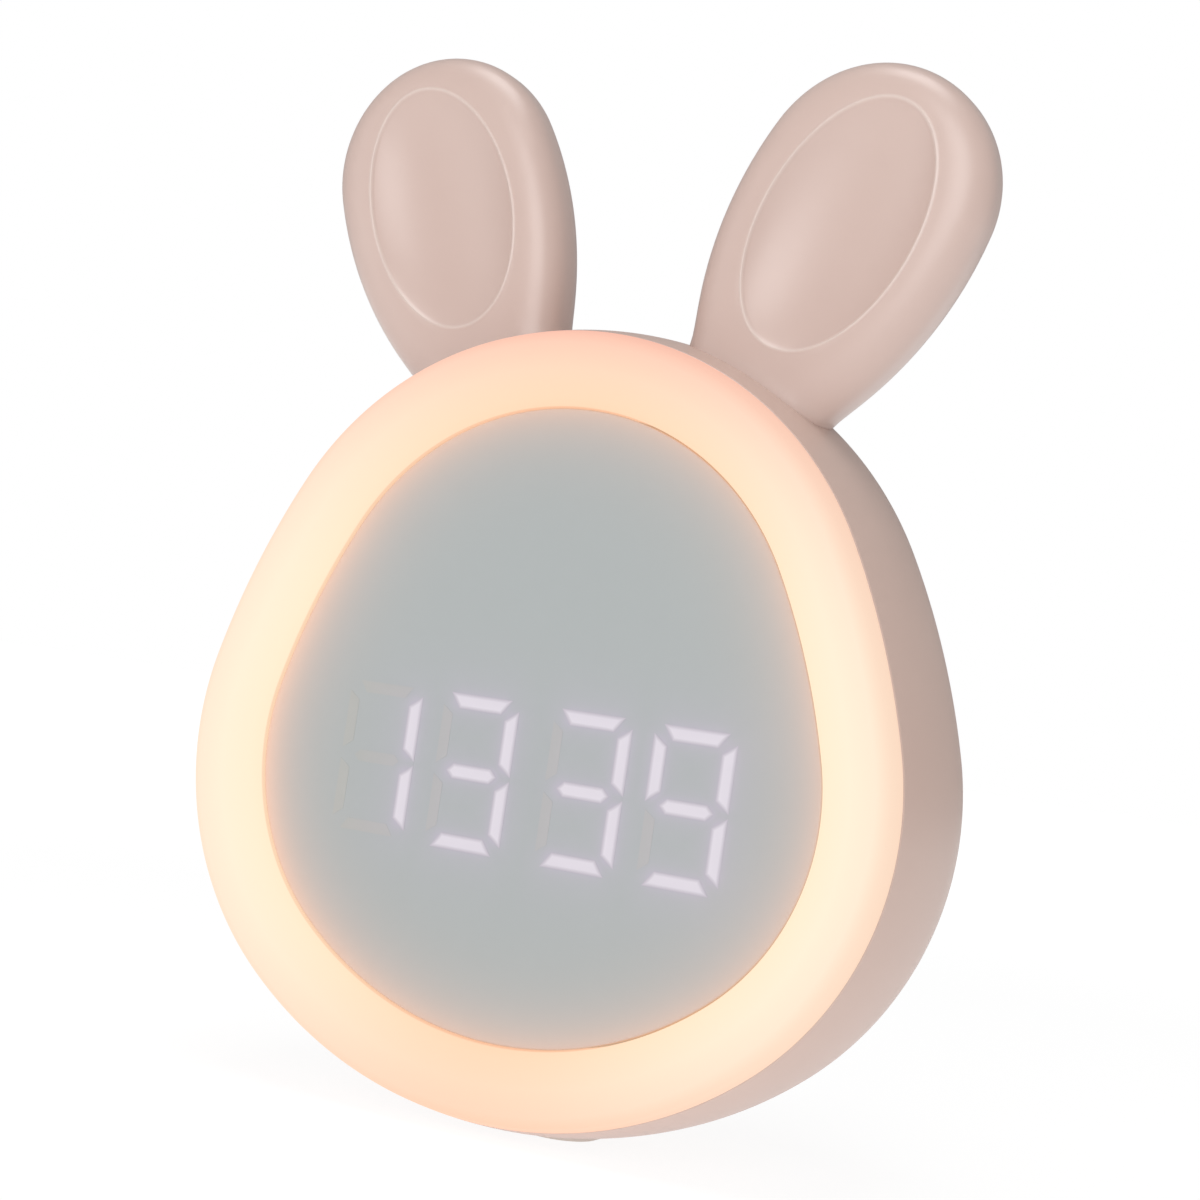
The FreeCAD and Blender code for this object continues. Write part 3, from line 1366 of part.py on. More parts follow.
# Speaker against the grille, with its magnet towards the board
def build_speaker():
    body = new_body("speaker")
    low = f"({COVER_INSIDE} - Sizes.speaker_height)"
    cone = f"({COVER_INSIDE} - Sizes.cone_depth)"
    bowl = f"({COVER_INSIDE} - Sizes.speaker_rim * 2)"
    turned_about_depth(body, "turning", [
        ("0", low),
        ("Sizes.magnet_radius", low),
        ("Sizes.magnet_radius", f"{low} + Sizes.magnet_height"),
        ("Sizes.speaker_radius - Sizes.speaker_rim", bowl),
        ("Sizes.speaker_radius", bowl),
        ("Sizes.speaker_radius", COVER_INSIDE),
        ("Sizes.speaker_radius - Sizes.speaker_lip", COVER_INSIDE),
        ("Sizes.speaker_radius - Sizes.speaker_lip", f"{COVER_INSIDE} - Sizes.speaker_rim / 2"),
        ("Sizes.cone_eye", f"{cone} - Sizes.speaker_rim / 2"),
        ("0", cone),
    ])
    body.setExpression("Placement.Base.z", "Sizes.speaker_z")
    doc.recompute()
    return keep(body, "speaker")


build_speaker()


# Battery cell lying across the bottom, gripped by a cradle on the frame's back
CELL_DEPTH = f"({PANEL} + Sizes.cell_setback)"


def build_battery():
    body = new_body("battery_cell")
    half = "Sizes.cell_length / 2"
    sketch = add_sketch(body, "outline", "XZ_Plane", f"-{CELL_DEPTH}")
    axis = "Sizes.cell_z"
    draw_path(sketch, [
        (f"-{half}", axis),
        (f"{half} + Sizes.cell_nub", axis),
        (f"{half} + Sizes.cell_nub", f"{axis} + Sizes.cell_nub_radius"),
        (half, f"{axis} + Sizes.cell_nub_radius"),
        (half, f"{axis} + Sizes.cell_radius"),
        (f"-{half}", f"{axis} + Sizes.cell_radius"),
    ])
    turn = body.newObject("PartDesign::Revolution", "turning")
    turn.Profile = sketch
    turn.ReferenceAxis = (sketch, ["Edge1"])
    turn.Angle = 360
    body.Tip = turn
    doc.recompute()
    return keep(body, "battery_cell")


def build_cradle():
    body = new_body("battery_cradle")
    reach = "(Sizes.cell_radius + Sizes.cell_gap + Sizes.cradle_wall)"
    back = f"({CELL_DEPTH} + Sizes.cradle_grip)"
    sketch = add_sketch(body, "outline", "YZ_Plane")
    draw_path(sketch, [
        (FRAME_BACK, f"Sizes.cell_z - {reach}"),
        (back, f"Sizes.cell_z - {reach}"),
        (back, f"Sizes.cell_z + {reach}"),
        (FRAME_BACK, f"Sizes.cell_z + {reach}"),
    ])
    pad = body.newObject("PartDesign::Pad", "block")
    pad.Profile = sketch
    pad.Midplane = True
    pad.setExpression("Length", "Sizes.cradle_half_width * 2")
    body.Tip = pad
    doc.recompute()
    bore = add_sketch(body, "bore_outline", "YZ_Plane")
    draw_circle(bore, CELL_DEPTH, "Sizes.cell_z", "Sizes.cell_radius + Sizes.cell_gap")
    cut = body.newObject("PartDesign::Pocket", "bore")
    cut.Profile = bore
    cut.Midplane = True
    cut.setExpression("Length", "Sizes.cradle_half_width * 2")
    body.Tip = cut
    doc.recompute()
    return keep(body, "battery_cradle")


build_battery()
build_cradle()


# Every object must have recomputed cleanly, and every piece must be a sound solid
doc.recompute()
for item in doc.Objects:
    if "Invalid" in item.State or "Error" in item.State:
        raise RuntimeError(f"{item.Name} did not recompute: {item.State}")
os.makedirs("parts", exist_ok=True)
for name, item in nodes.items():
    shape = item.Shape
    if shape.isNull() or not shape.isValid() or not shape.Solids:
        raise RuntimeError(f"{name} is not a sound solid")
    shape.exportStep(f"parts/{name}.step")
    box = shape.optimalBoundingBox()
    print(f"{name}: {len(shape.Solids)} solids, {shape.Volume:.0f} mm3,"
          f" y {box.YMin:.2f} to {box.YMax:.2f}, z {box.ZMin:.2f} to {box.ZMax:.2f}")
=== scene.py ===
# %% [markdown]
# A bedside clock with a night light. Its body is a puffed egg of soft pink plastic, a glowing
# opal ring runs round its face, and two dished ears stand on top. The imported CAD model is the
# skeleton: this lesson puts smooth, well finished surfaces round it. First the imported model is
# opened.

import math

import bmesh
import bpy
import numpy as np
from mathutils import Matrix, Vector


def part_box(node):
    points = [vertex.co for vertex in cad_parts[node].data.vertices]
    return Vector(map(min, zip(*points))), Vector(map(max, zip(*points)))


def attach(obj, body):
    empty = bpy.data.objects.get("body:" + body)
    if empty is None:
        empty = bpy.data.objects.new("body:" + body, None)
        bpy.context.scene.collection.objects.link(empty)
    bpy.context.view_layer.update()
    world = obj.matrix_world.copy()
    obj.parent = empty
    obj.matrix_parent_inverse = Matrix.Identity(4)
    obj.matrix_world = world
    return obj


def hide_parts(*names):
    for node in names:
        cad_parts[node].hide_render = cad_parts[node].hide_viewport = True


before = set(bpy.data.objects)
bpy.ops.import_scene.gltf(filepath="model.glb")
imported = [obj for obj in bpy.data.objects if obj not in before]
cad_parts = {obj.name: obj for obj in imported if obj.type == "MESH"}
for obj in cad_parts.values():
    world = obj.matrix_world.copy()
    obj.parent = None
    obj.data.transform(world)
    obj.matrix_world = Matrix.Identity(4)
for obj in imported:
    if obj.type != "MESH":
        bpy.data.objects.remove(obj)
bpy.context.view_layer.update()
MM = 0.001
print("packed nodes:", len(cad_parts))

# %% [markdown]
# The shapes are worked out from a few driving dimensions, in millimetres, and from the boxes of
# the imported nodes, so that every surface lies where its solid does. X runs to the right, Y
# towards the back and Z up. An arc of the face's outline is written as the x and z of its centre
# and its radius.

# %% Driving dimensions
CROWN = (0.0, 67.6, 39.6)
CHEEK = (10.7, 52.4, 35.2)
FLANK_RADIUS, CHIN_RADIUS = 108.6, 51.9
GIRTH_SETBACK, GIRTH_REACH = 17.0, 13.9
SIDE_RADIUS, REAR_RADIUS = 66.4, 42.75
FLAT_INSET = 22.6
SEAM_REACH, RIM_WALL = 11.7, 1.9

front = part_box("light_ring")[0].y / MM
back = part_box("rear_cover")[1].y / MM
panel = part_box("face_panel")[0].y / MM
girth = panel + GIRTH_SETBACK
print("depths of front, face panel, girth and back:", front, panel, girth, back)

# %% [markdown]
# The face and the ears have outlines of the same kind: arcs of different radii that touch end to
# end. Such an outline is easiest to work out by its outward direction. Each arc holds a range of
# directions, and the point for a direction is the arc's centre plus its radius along that
# direction. An outline that lies further out keeps the centres and only has larger radii.

# %% Outlines made of touching arcs
def meeting_centre(first, first_reach, second, second_reach):
    """Centre of an arc that touches two circles from outside: the point at the given distances
    from both centres, on the left of the line that runs from the first down to the second."""
    first, second = np.array(first), np.array(second)
    gap = np.linalg.norm(second - first)
    along = (first_reach ** 2 - second_reach ** 2 + gap ** 2) / (2 * gap)
    aside = math.sqrt(first_reach ** 2 - along ** 2)
    unit = (second - first) / gap
    return first + along * unit + aside * np.array([unit[1], -unit[0]])


def steepness(high, low):
    """Angle above the level of the direction from the low centre to the high one."""
    return math.atan2(high[1] - low[1], high[0] - low[0])


def outline(arcs, turns, angle, grow=0.0):
    """Points (x, z) of an outline for outward directions. Formula: centre + (radius + grow) times
    the direction, with the arc picked by how steeply the direction rises. Arcs run from the
    bottom to the top of the right side, turns are the steepnesses between them, and the left
    side mirrors the right."""
    table = np.array(arcs, float)
    side = np.where(np.cos(angle) < 0, -1.0, 1.0)
    rise = np.arcsin(np.clip(np.sin(angle), -1, 1))
    picked = table[np.searchsorted(np.array(turns), rise)]
    radius = picked[..., 2] + grow
    x = side * picked[..., 0] + radius * np.cos(angle)
    z = picked[..., 1] + radius * np.sin(angle)
    return x, z


flank = meeting_centre(CROWN[:2], FLANK_RADIUS - CROWN[2], CHEEK[:2], FLANK_RADIUS - CHEEK[2])
chin = (0.0, CHEEK[1] + math.sqrt((CHIN_RADIUS - CHEEK[2]) ** 2 - CHEEK[0] ** 2))
EGG_ARCS = [(*chin, CHIN_RADIUS), CHEEK, (*flank, FLANK_RADIUS), CROWN]
EGG_TURNS = [steepness(CHEEK, chin), steepness(CHEEK, flank), steepness(CROWN, flank)]


def egg(angle, reach=0.0):
    """The face's outline, or one that lies further out by a reach."""
    return outline(EGG_ARCS, EGG_TURNS, angle, reach)


width = 2 * egg(np.array([0.0]))[0][0]
print("width of the face:", round(width, 2), "mm")

# %% [markdown]
# The way back is needed too: how far a point lies from the face's outline, and which way is
# outwards there. Both follow from the one arc whose range of directions holds the point.

# %% Reach and direction of a point
def arc_near(x, z):
    """The arc of the face's outline in whose range each point lies: how far the point is across
    and up from the arc's centre, taken on the right side, and the arc's radius."""
    table = np.array(EGG_ARCS, float)
    limits = np.array([-math.pi / 2] + EGG_TURNS + [math.pi / 2])
    across = np.abs(x)[:, None] - table[:, 0]
    up = z[:, None] - table[:, 1]
    rise = np.arctan2(up, across)
    inside = (rise >= limits[:-1] - 1e-9) & (rise <= limits[1:] + 1e-9)
    point, picked = np.arange(len(x)), np.argmax(inside, axis=1)
    return across[point, picked], up[point, picked], table[picked, 2]


def reach_of(x, z):
    """How far points lie outside the face's outline: their distance from the near arc's centre,
    minus its radius."""
    across, up, radius = arc_near(x, z)
    return np.hypot(across, up) - radius


def outward_of(x, z):
    """Outward direction of the outline at points: away from the near arc's centre."""
    across, up, _ = arc_near(x, z)
    length = np.hypot(across, up) + 1e-9
    return np.sign(x) * across / length, up / length


print("reach of the middle of the cheek:", round(reach_of(*np.array([CHEEK[:1], CHEEK[1:2]]))[0], 2), "mm")

# %% [markdown]
# A surface is a grid of points, and its faces join each point to its neighbours. One function
# numbers the faces, and another makes the mesh. Numbers can be kept on a mesh's points, for a
# material to read.

# %% Grids and meshes
def grid_faces(rows, columns, closed=True):
    """Corner numbers of the quads of a grid of points, all at once. The last row always joins the
    first, and in a closed grid the last column joins the first too."""
    run = np.arange(columns if closed else columns - 1)
    row, column = np.meshgrid(np.arange(rows), run, indexing="ij")
    next_row, next_column = (row + 1) % rows, (column + 1) % columns
    corners = [
        row * columns + column, next_row * columns + column,
        next_row * columns + next_column, row * columns + next_column]
    return np.stack(corners, axis=-1).reshape(-1, 4)


def make_mesh(name, points, faces):
    """A smooth mesh from points in millimetres. Welding closes the seams and poles of a grid, and
    the faces are then turned outwards."""
    mesh = bpy.data.meshes.new(name)
    mesh.from_pydata((points.reshape(-1, 3) * MM).tolist(), [], faces.tolist())
    form = bmesh.new()
    form.from_mesh(mesh)
    bmesh.ops.remove_doubles(form, verts=form.verts, dist=2e-7)
    bmesh.ops.dissolve_degenerate(form, edges=form.edges, dist=1e-8)
    bmesh.ops.recalc_face_normals(form, faces=form.faces)
    form.to_mesh(mesh)
    form.free()
    mesh.shade_smooth()
    return mesh


def points_of(mesh):
    """All points of a mesh, in millimetres."""
    flat = np.empty(len(mesh.vertices) * 3, np.float32)
    mesh.vertices.foreach_get("co", flat)
    return flat.reshape(-1, 3).astype(float) / MM


def store(mesh, name, values):
    """Keeps one number for each point of a mesh, for its material to read."""
    attribute = mesh.attributes.new(name, "FLOAT", "POINT")
    attribute.data.foreach_set("value", np.asarray(values, np.float32))


# %% [markdown]
# A mesh becomes a piece when it gets a material, rides on a body of the imported model, and hides
# the imported node that it stands for. A mould has no knife edges, so sharp edges are rounded by a
# bevel, which is quicker than drawing each small round.

# %% Pieces
def make_piece(mesh, material, body, stands_for):
    """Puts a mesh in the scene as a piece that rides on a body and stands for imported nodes."""
    piece = bpy.data.objects.new(mesh.name, mesh)
    bpy.context.scene.collection.objects.link(piece)
    mesh.materials.clear()
    mesh.materials.append(material)
    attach(piece, body)
    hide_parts(*stands_for)
    print("piece:", piece.name, "faces:", len(mesh.polygons))
    return piece


def soften_edges(piece, edge_width, steps, sharper_than):
    """Rounds the edges of a piece that are sharper than an angle in degrees."""
    bevel = piece.modifiers.new("soft edges", "BEVEL")
    bevel.width = edge_width * MM
    bevel.segments = steps
    bevel.limit_method = "ANGLE"
    bevel.angle_limit = math.radians(sharper_than)
    bevel.use_clamp_overlap = True


# %% [markdown]
# The body's section is a chain of arcs too: the side bulges to the girth, the shoulder turns it
# in, and a shallow rear arc closes it towards the cover. Carried round the face's outline, the
# section becomes the barrel of the shell. The same helpers serve the light ring.

# %% The section of the body
REAR_DEPTH, REAR_RUN = back - girth, GIRTH_REACH + FLAT_INSET
SHOULDER_RADIUS = (
    (2 * REAR_RADIUS * REAR_DEPTH - REAR_DEPTH ** 2 - REAR_RUN ** 2) / (2 * (REAR_RADIUS - REAR_RUN)))
SIDE = (girth, GIRTH_REACH - SIDE_RADIUS)
SHOULDER = (girth, GIRTH_REACH - SHOULDER_RADIUS)
BACK = (back - REAR_RADIUS, -FLAT_INSET)
BLEND = math.atan2(SHOULDER[1] - BACK[1], SHOULDER[0] - BACK[0])
SEAM = SIDE[0] - math.sqrt(SIDE_RADIUS ** 2 - (SEAM_REACH - SIDE[1]) ** 2)
print("shoulder radius:", round(SHOULDER_RADIUS, 2), "mm")
print("depth of the seam between ring and shell:", round(SEAM, 2), "mm")


def arc(centre, radius, start, end, count):
    """Points (depth, reach) along an arc, from one angle to another, both measured from the way
    to the back."""
    turn = np.linspace(start, end, count)
    return np.stack([centre[0] + radius * np.cos(turn), centre[1] + radius * np.sin(turn)], axis=-1)


def angle_at_reach(centre, radius, reach):
    """Angle on an arc at which its reach has a value: the arc sine of height over radius."""
    return math.asin((reach - centre[1]) / radius)


def angle_at_depth(centre, radius, depth):
    """Angle on an arc at which its depth has a value: the arc cosine of run over radius."""
    return math.acos((depth - centre[0]) / radius)


def skin(inward, start_angle, end_angle, steps=(60, 40, 36)):
    """The side, shoulder and rear arcs, inside the surface by a wall, from an angle on the side
    arc to an angle on the rear arc."""
    side = arc(SIDE, SIDE_RADIUS - inward, start_angle, math.pi / 2, steps[0])
    shoulder = arc(SHOULDER, SHOULDER_RADIUS - inward, math.pi / 2, BLEND, steps[1])
    rear = arc(BACK, REAR_RADIUS - inward, BLEND, end_angle, steps[2])
    return np.concatenate([side, shoulder[1:], rear[1:]])


def carry_round(section, steps):
    """Carries a closed section (depth, reach) round the face. Formula: the outline's point for a
    direction and a reach gives x and z, and the section's depth gives y."""
    angle = np.linspace(0, 2 * math.pi, steps, endpoint=False)[:, None]
    reach = section[None, :, 1]
    x, z = egg(angle + 0 * reach, reach)
    y = section[None, :, 0] + 0 * x
    return np.stack([x, y, z], axis=-1)


# %% [markdown]
# Materials. One function turns the sRGB hex colour of a swatch into the linear numbers that a
# shader wants, and one small function adds a node with its settings and links. Every finish is
# named for what the real one is made of.

# %% Colour and node helpers
def linear(code):
    """An sRGB hex colour as linear red, green and blue, with an alpha of 1."""
    channels = np.array([int(code[start:start + 2], 16) for start in (1, 3, 5)]) / 255
    value = np.where(channels <= 0.04045, channels / 12.92, ((channels + 0.055) / 1.055) ** 2.4)
    return (*value.tolist(), 1.0)


def add_node(tree, kind, links=(), **settings):
    """Adds a node. A setting names a property or an input, and a link is (input, socket). The
    settings are made in their order, so a node's type of data comes before its values."""
    node = tree.nodes.new(kind)
    for name, value in settings.items():
        if hasattr(node, name):
            setattr(node, name, value)
        else:
            node.inputs[name.replace("_", " ")].default_value = value
    for place, socket in links:
        tree.links.new(socket, node.inputs[place])
    return node


def new_finish(name, **sockets):
    """A material with one Principled shader, and its tree."""
    material = bpy.data.materials.new(name)
    material.use_nodes = True
    tree = material.node_tree
    shader = tree.nodes["Principled BSDF"]
    for socket, value in sockets.items():
        shader.inputs[socket.replace("_", " ")].default_value = value
    print("finish:", name)
    return material, tree, shader


def add_grain(tree, shader, place, width_mm, depth_mm, detail=2.0):
    """Gives a finish a fine grain of a width and a depth, and returns how high each spot is."""
    grain = add_node(tree, "ShaderNodeTexNoise", [("Vector", place)], Scale=1 / (width_mm * MM), Detail=detail)
    bump = add_node(
        tree, "ShaderNodeBump", [("Height", grain.outputs["Fac"])], Strength=1.0, Distance=depth_mm * MM)
    tree.links.new(bump.outputs["Normal"], shader.inputs["Normal"])
    return grain.outputs["Fac"]


# %% [markdown]
# Nearly every part is moulded, and a moulded surface is never quite even. Its colour drifts
# slowly from patch to patch, and the mould's spark-eroded skin leaves a fine grain, which breaks
# up the highlights. Real grain is about 0.1 mm wide and too fine to show here, so it is drawn
# three to five times as coarse.

# %% Moulded plastic and rubber
def moulded(name, shade, other, roughness, patch_mm=18.0, grain_mm=0.35, **sockets):
    """A drift between two close colours over patches, and a grain in roughness and height."""
    material, tree, shader = new_finish(name, **sockets)
    place = add_node(tree, "ShaderNodeTexCoord").outputs["Object"]
    drift = add_node(tree, "ShaderNodeTexNoise", [("Vector", place)], Scale=1 / (patch_mm * MM), Detail=2.0)
    blend = add_node(
        tree, "ShaderNodeMix", [("Factor", drift.outputs["Fac"])], data_type="RGBA",
        A=linear(shade), B=linear(other))
    tree.links.new(blend.outputs["Result"], shader.inputs["Base Color"])
    height = add_grain(tree, shader, place, grain_mm, 0.006, detail=3.0)
    rough = add_node(
        tree, "ShaderNodeMapRange", [("Value", height)], To_Min=roughness - 0.05, To_Max=roughness + 0.05)
    tree.links.new(rough.outputs["Result"], shader.inputs["Roughness"])
    return material


# %% [markdown]
# The shell, the ears and the rear cover are ABS with a soft-touch coat: a powdery pink-beige with
# wide, whitish highlights. A painted highlight makes the thin rims of the ears' dishes paler. The
# shell and the cover hold the lamps, and their pink is a warmer copy, with a little painted warmth of the
# lamps' light.

# %% Soft-touch pink
def paint_rim_highlight(material, shade):
    """Paints a highlight: makes a material paler where a number stored on the points, the rim, is high."""
    tree = material.node_tree
    shader = tree.nodes["Principled BSDF"]
    base = shader.inputs["Base Color"].links[0].from_socket
    rim = add_node(tree, "ShaderNodeAttribute", attribute_name="rim")
    pale = add_node(
        tree, "ShaderNodeMix", [("Factor", rim.outputs["Fac"]), ("A", base)], data_type="RGBA",
        B=linear(shade))
    tree.links.new(pale.outputs["Result"], shader.inputs["Base Color"])


soft_pink = moulded(
    "soft-touch pink ABS", "#CEB5AB", "#CAB0A6", 0.42, Specular_IOR_Level=0.6,
    Coat_Weight=0.8, Coat_Roughness=0.34)
# The paler rims of the ears' dishes are a painted highlight.
paint_rim_highlight(soft_pink, "#E8DAD2")
# A warmer copy of the pink for the shell and the cover: a warm cast of the lamps' light is painted into its
# colour.
painted_warm_pink = moulded(
    "soft-touch pink ABS with painted lamp warmth", "#D0B5A9", "#CCB0A4", 0.42, Specular_IOR_Level=0.6,
    Coat_Weight=0.3, Coat_Roughness=0.35)

# %% [markdown]
# The light ring is opal polycarbonate, moulded smooth and lit from inside by warm lamps. Its glow
# is drawn by the emission of the surface: a creamy white over its crown and a peach tint towards
# its outer edge, where the light has come through more plastic. The tint follows numbers that are
# stored on each point: how far across the ring it lies, how near the top or the bottom, and how
# near the outer edge of the crown, where the peach is deepest. The wall of the inner lip glows a
# light brown, which is painted shade: the shade of the narrow gap between the ring and the face panel.

# %% Glowing opal ring
# The first two stops only reach the wall of the inner lip: a light brown that is painted shade.
GLOW_STOPS = [
    (0.0, "#E9CDB0"), (0.05, "#E9CDB0"), (0.1, "#F2E1C6"), (0.2, "#F2E3CA"), (0.5, "#F2E4CF"),
    (0.8, "#F0DECB"), (1.0, "#EBCEB9")]


def make_ring_finish():
    """Colour along the width by a ramp, then multiplied by the tints of the top and the bottom.
    The faint unevenness of the skin is drawn at 0.6 mm, coarser than a real one."""
    material, tree, shader = new_finish(
        "lit opal polycarbonate", Base_Color=linear("#6E5A46"), Roughness=0.6,
        Specular_IOR_Level=0.12, Emission_Strength=1.0)
    across = add_node(tree, "ShaderNodeAttribute", attribute_name="across")
    ramp = add_node(tree, "ShaderNodeValToRGB", [("Fac", across.outputs["Fac"])])
    first, last = ramp.color_ramp.elements
    first.color = linear(GLOW_STOPS[0][1])
    last.color = linear(GLOW_STOPS[-1][1])
    for place, code in GLOW_STOPS[1:-1]:
        ramp.color_ramp.elements.new(place).color = linear(code)
    upright = add_node(tree, "ShaderNodeAttribute", attribute_name="top_and_bottom")
    tint = add_node(
        tree, "ShaderNodeMix", [("Factor", upright.outputs["Fac"]), ("A", ramp.outputs["Color"])],
        data_type="RGBA", blend_type="MULTIPLY", B=linear("#FFE8E1"))
    crown = add_node(tree, "ShaderNodeAttribute", attribute_name="crown_rim")
    peach = add_node(
        tree, "ShaderNodeMix", [("Factor", crown.outputs["Fac"]), ("A", tint.outputs["Result"])],
        data_type="RGBA", blend_type="MULTIPLY", B=linear("#FAEBF5"))
    tree.links.new(peach.outputs["Result"], shader.inputs["Emission Color"])
    add_grain(tree, shader, add_node(tree, "ShaderNodeTexCoord").outputs["Object"], 0.6, 0.004)
    return material


ring_finish = make_ring_finish()

# %% [markdown]
# The face panel is grey-tinted acrylic with a matt front. Light from the ring creeps into its
# edge and comes out orange, and the lit bars spread a faint lilac halo. Both are worked out once
# from the geometry, as numbers stored on the points, and the material turns them into a glow. The
# unlit bars get nearly the same grey and the same glows, so that they only show as ghosts.

# %% Tinted face panel
def make_panel_finish(name, shade, other):
    """A grey that drifts a little, with the warm glow of the edge and the cool one of the bars.
    The grain of the matt front is drawn at 0.4 mm, coarser than a real one."""
    material, tree, shader = new_finish(
        name, Roughness=0.5, Specular_IOR_Level=0.3, Emission_Strength=1.0)
    place = add_node(tree, "ShaderNodeTexCoord").outputs["Object"]
    cloud = add_node(tree, "ShaderNodeTexNoise", [("Vector", place)], Scale=1 / (40 * MM), Detail=1.0)
    grey = add_node(
        tree, "ShaderNodeMix", [("Factor", cloud.outputs["Fac"])], data_type="RGBA",
        A=linear(shade), B=linear(other))
    tree.links.new(grey.outputs["Result"], shader.inputs["Base Color"])
    edge = add_node(tree, "ShaderNodeAttribute", attribute_name="edge_glow")
    warm = add_node(
        tree, "ShaderNodeMix", [("Factor", edge.outputs["Fac"])], data_type="RGBA",
        A=linear("#000000"), B=linear("#BB7238"))
    halo = add_node(tree, "ShaderNodeAttribute", attribute_name="figure_glow")
    cool = add_node(
        tree, "ShaderNodeMix", [("Factor", halo.outputs["Fac"])], data_type="RGBA",
        A=linear("#000000"), B=linear("#593061"))
    both = add_node(
        tree, "ShaderNodeMix", [("A", warm.outputs["Result"]), ("B", cool.outputs["Result"])],
        data_type="RGBA", blend_type="ADD", Factor=1.0)
    tree.links.new(both.outputs["Result"], shader.inputs["Emission Color"])
    add_grain(tree, shader, place, 0.4, 0.003)
    return material


panel_finish = make_panel_finish("grey matt acrylic", "#A7ACAC", "#AAAFAF")
dark_finish = make_panel_finish("unlit diffusing acrylic", "#ABADAA", "#ADAFAC")

# %% [markdown]
# The barrel of the shell. On the real clock it is one deep moulding. It could be a sculpted egg
# with a solidified wall, but its wall, seat and rim have exact places, so its closed section is
# drawn and carried round. The section runs along the outer skin, steps in at the seat of the rear
# cover, and comes back along the inner skin. Underneath, the barrel is cut flat just above the
# table, where the foot pad is let in.

# %% Shell barrel
SHELL_WALL, SEAM_GAP, FOOT_PROUD = 2.2, 0.1, 0.4
COVER_INSET, SEAT_WIDTH, SEAT_DEPTH, SEAT_THICKNESS = 8.0, 4.0, 4.8, 2.0
RIM_REACH = SEAM_REACH - RIM_WALL
SEAT = back - SEAT_DEPTH


def shell_section():
    """The closed section of the shell's wall, as (depth, reach)."""
    rim = SEAM + SEAM_GAP
    outer = skin(
        0.0, angle_at_depth(SIDE, SIDE_RADIUS, rim), angle_at_reach(BACK, REAR_RADIUS, -COVER_INSET))
    inner = skin(
        SHELL_WALL, math.pi - angle_at_reach(SIDE, SIDE_RADIUS - SHELL_WALL, RIM_REACH),
        angle_at_depth(BACK, REAR_RADIUS - SHELL_WALL, SEAT - SEAT_THICKNESS))
    opening = -COVER_INSET - SEAT_WIDTH
    seat = np.array([(SEAT, -COVER_INSET), (SEAT, opening), (SEAT - SEAT_THICKNESS, opening)])
    return np.concatenate([outer, seat, inner[::-1], [(rim, RIM_REACH)]])


SHELL_STEPS = 420
section = shell_section()
barrel = carry_round(section, SHELL_STEPS)
barrel[..., 2] = np.maximum(barrel[..., 2], FOOT_PROUD)
shell_mesh = make_mesh("shell_barrel", barrel, grid_faces(SHELL_STEPS, len(section)))
shell = make_piece(shell_mesh, painted_warm_pink, "case", ["body_shell"])
soften_edges(shell, 0.25, 3, 40)

# %% [markdown]
# The light ring is an open channel of opal plastic. Its front is one wide, shallow arc that rises
# from the face to a crest, turns round a small corner and runs into the side of the body. Behind,
# its skirt stands on the frame and its tongue slips inside the shell's rim. It is carried round
# as the barrel is, so the two meet in an even seam.

# %% Section of the light ring
CORNER_RADIUS, RING_WALL, RING_GAP, LIP_RISE, SKIRT_WALL = 2.3, 2.0, 0.2, 0.5, 1.5
TONGUE_GAP, TONGUE_WALL, TONGUE_DEPTH, LIP_WALL_STEP = 0.1, 1.5, 3.0, 0.3
CORNER_DEPTH = front + CORNER_RADIUS
CORNER_REACH = SIDE[1] + math.sqrt((SIDE_RADIUS - CORNER_RADIUS) ** 2 - (SIDE[0] - CORNER_DEPTH) ** 2)
RING_LIP = panel - LIP_RISE
CREST_RUN, CREST_RISE = CORNER_REACH - RING_GAP, RING_LIP - front
CREST_RADIUS = (CREST_RUN ** 2 + CREST_RISE ** 2) / (2 * CREST_RISE)
CREST = (front + CREST_RADIUS, CORNER_REACH)
CORNER = (CORNER_DEPTH, CORNER_REACH)
SKIRT_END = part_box("light_ring")[1].y / MM
TONGUE_OUTSIDE = RIM_REACH - TONGUE_GAP
TONGUE_INSIDE = TONGUE_OUTSIDE - TONGUE_WALL
TONGUE_END = SEAM + TONGUE_DEPTH
print("radius of the ring's crest:", round(CREST_RADIUS, 2), "mm")


def ring_section():
    """The closed section of the ring, as (depth, reach). It starts at the ring's inner edge."""
    crest = arc(CREST, CREST_RADIUS, math.pi + math.asin(CREST_RUN / CREST_RADIUS), math.pi, 40)
    meet = math.atan2(CORNER[1] - SIDE[1], CORNER[0] - SIDE[0])
    corner = arc(CORNER, CORNER_RADIUS, math.pi, meet, 14)
    side = arc(SIDE, SIDE_RADIUS, meet, angle_at_depth(SIDE, SIDE_RADIUS, SEAM), 16)
    inside = CREST_RADIUS - RING_WALL
    high = math.pi + math.asin((CORNER_REACH - TONGUE_INSIDE) / inside)
    low = math.pi + math.asin((CORNER_REACH - RING_GAP - SKIRT_WALL) / inside)
    ceiling = arc(CREST, inside, high, low, 20)
    tongue = np.array([
        (SEAM, TONGUE_OUTSIDE), (TONGUE_END, TONGUE_OUTSIDE), (TONGUE_END, TONGUE_INSIDE)])
    skirt = np.array([
        (SKIRT_END, RING_GAP + SKIRT_WALL), (SKIRT_END, RING_GAP), (RING_LIP + LIP_WALL_STEP, RING_GAP)])
    return np.concatenate([crest, corner[1:], side[1:], tongue, ceiling, skirt])


# %% [markdown]
# The ring's mesh also keeps the numbers that its glow reads. They come from the same geometry, so
# the glow stays in place whatever size the ring has.

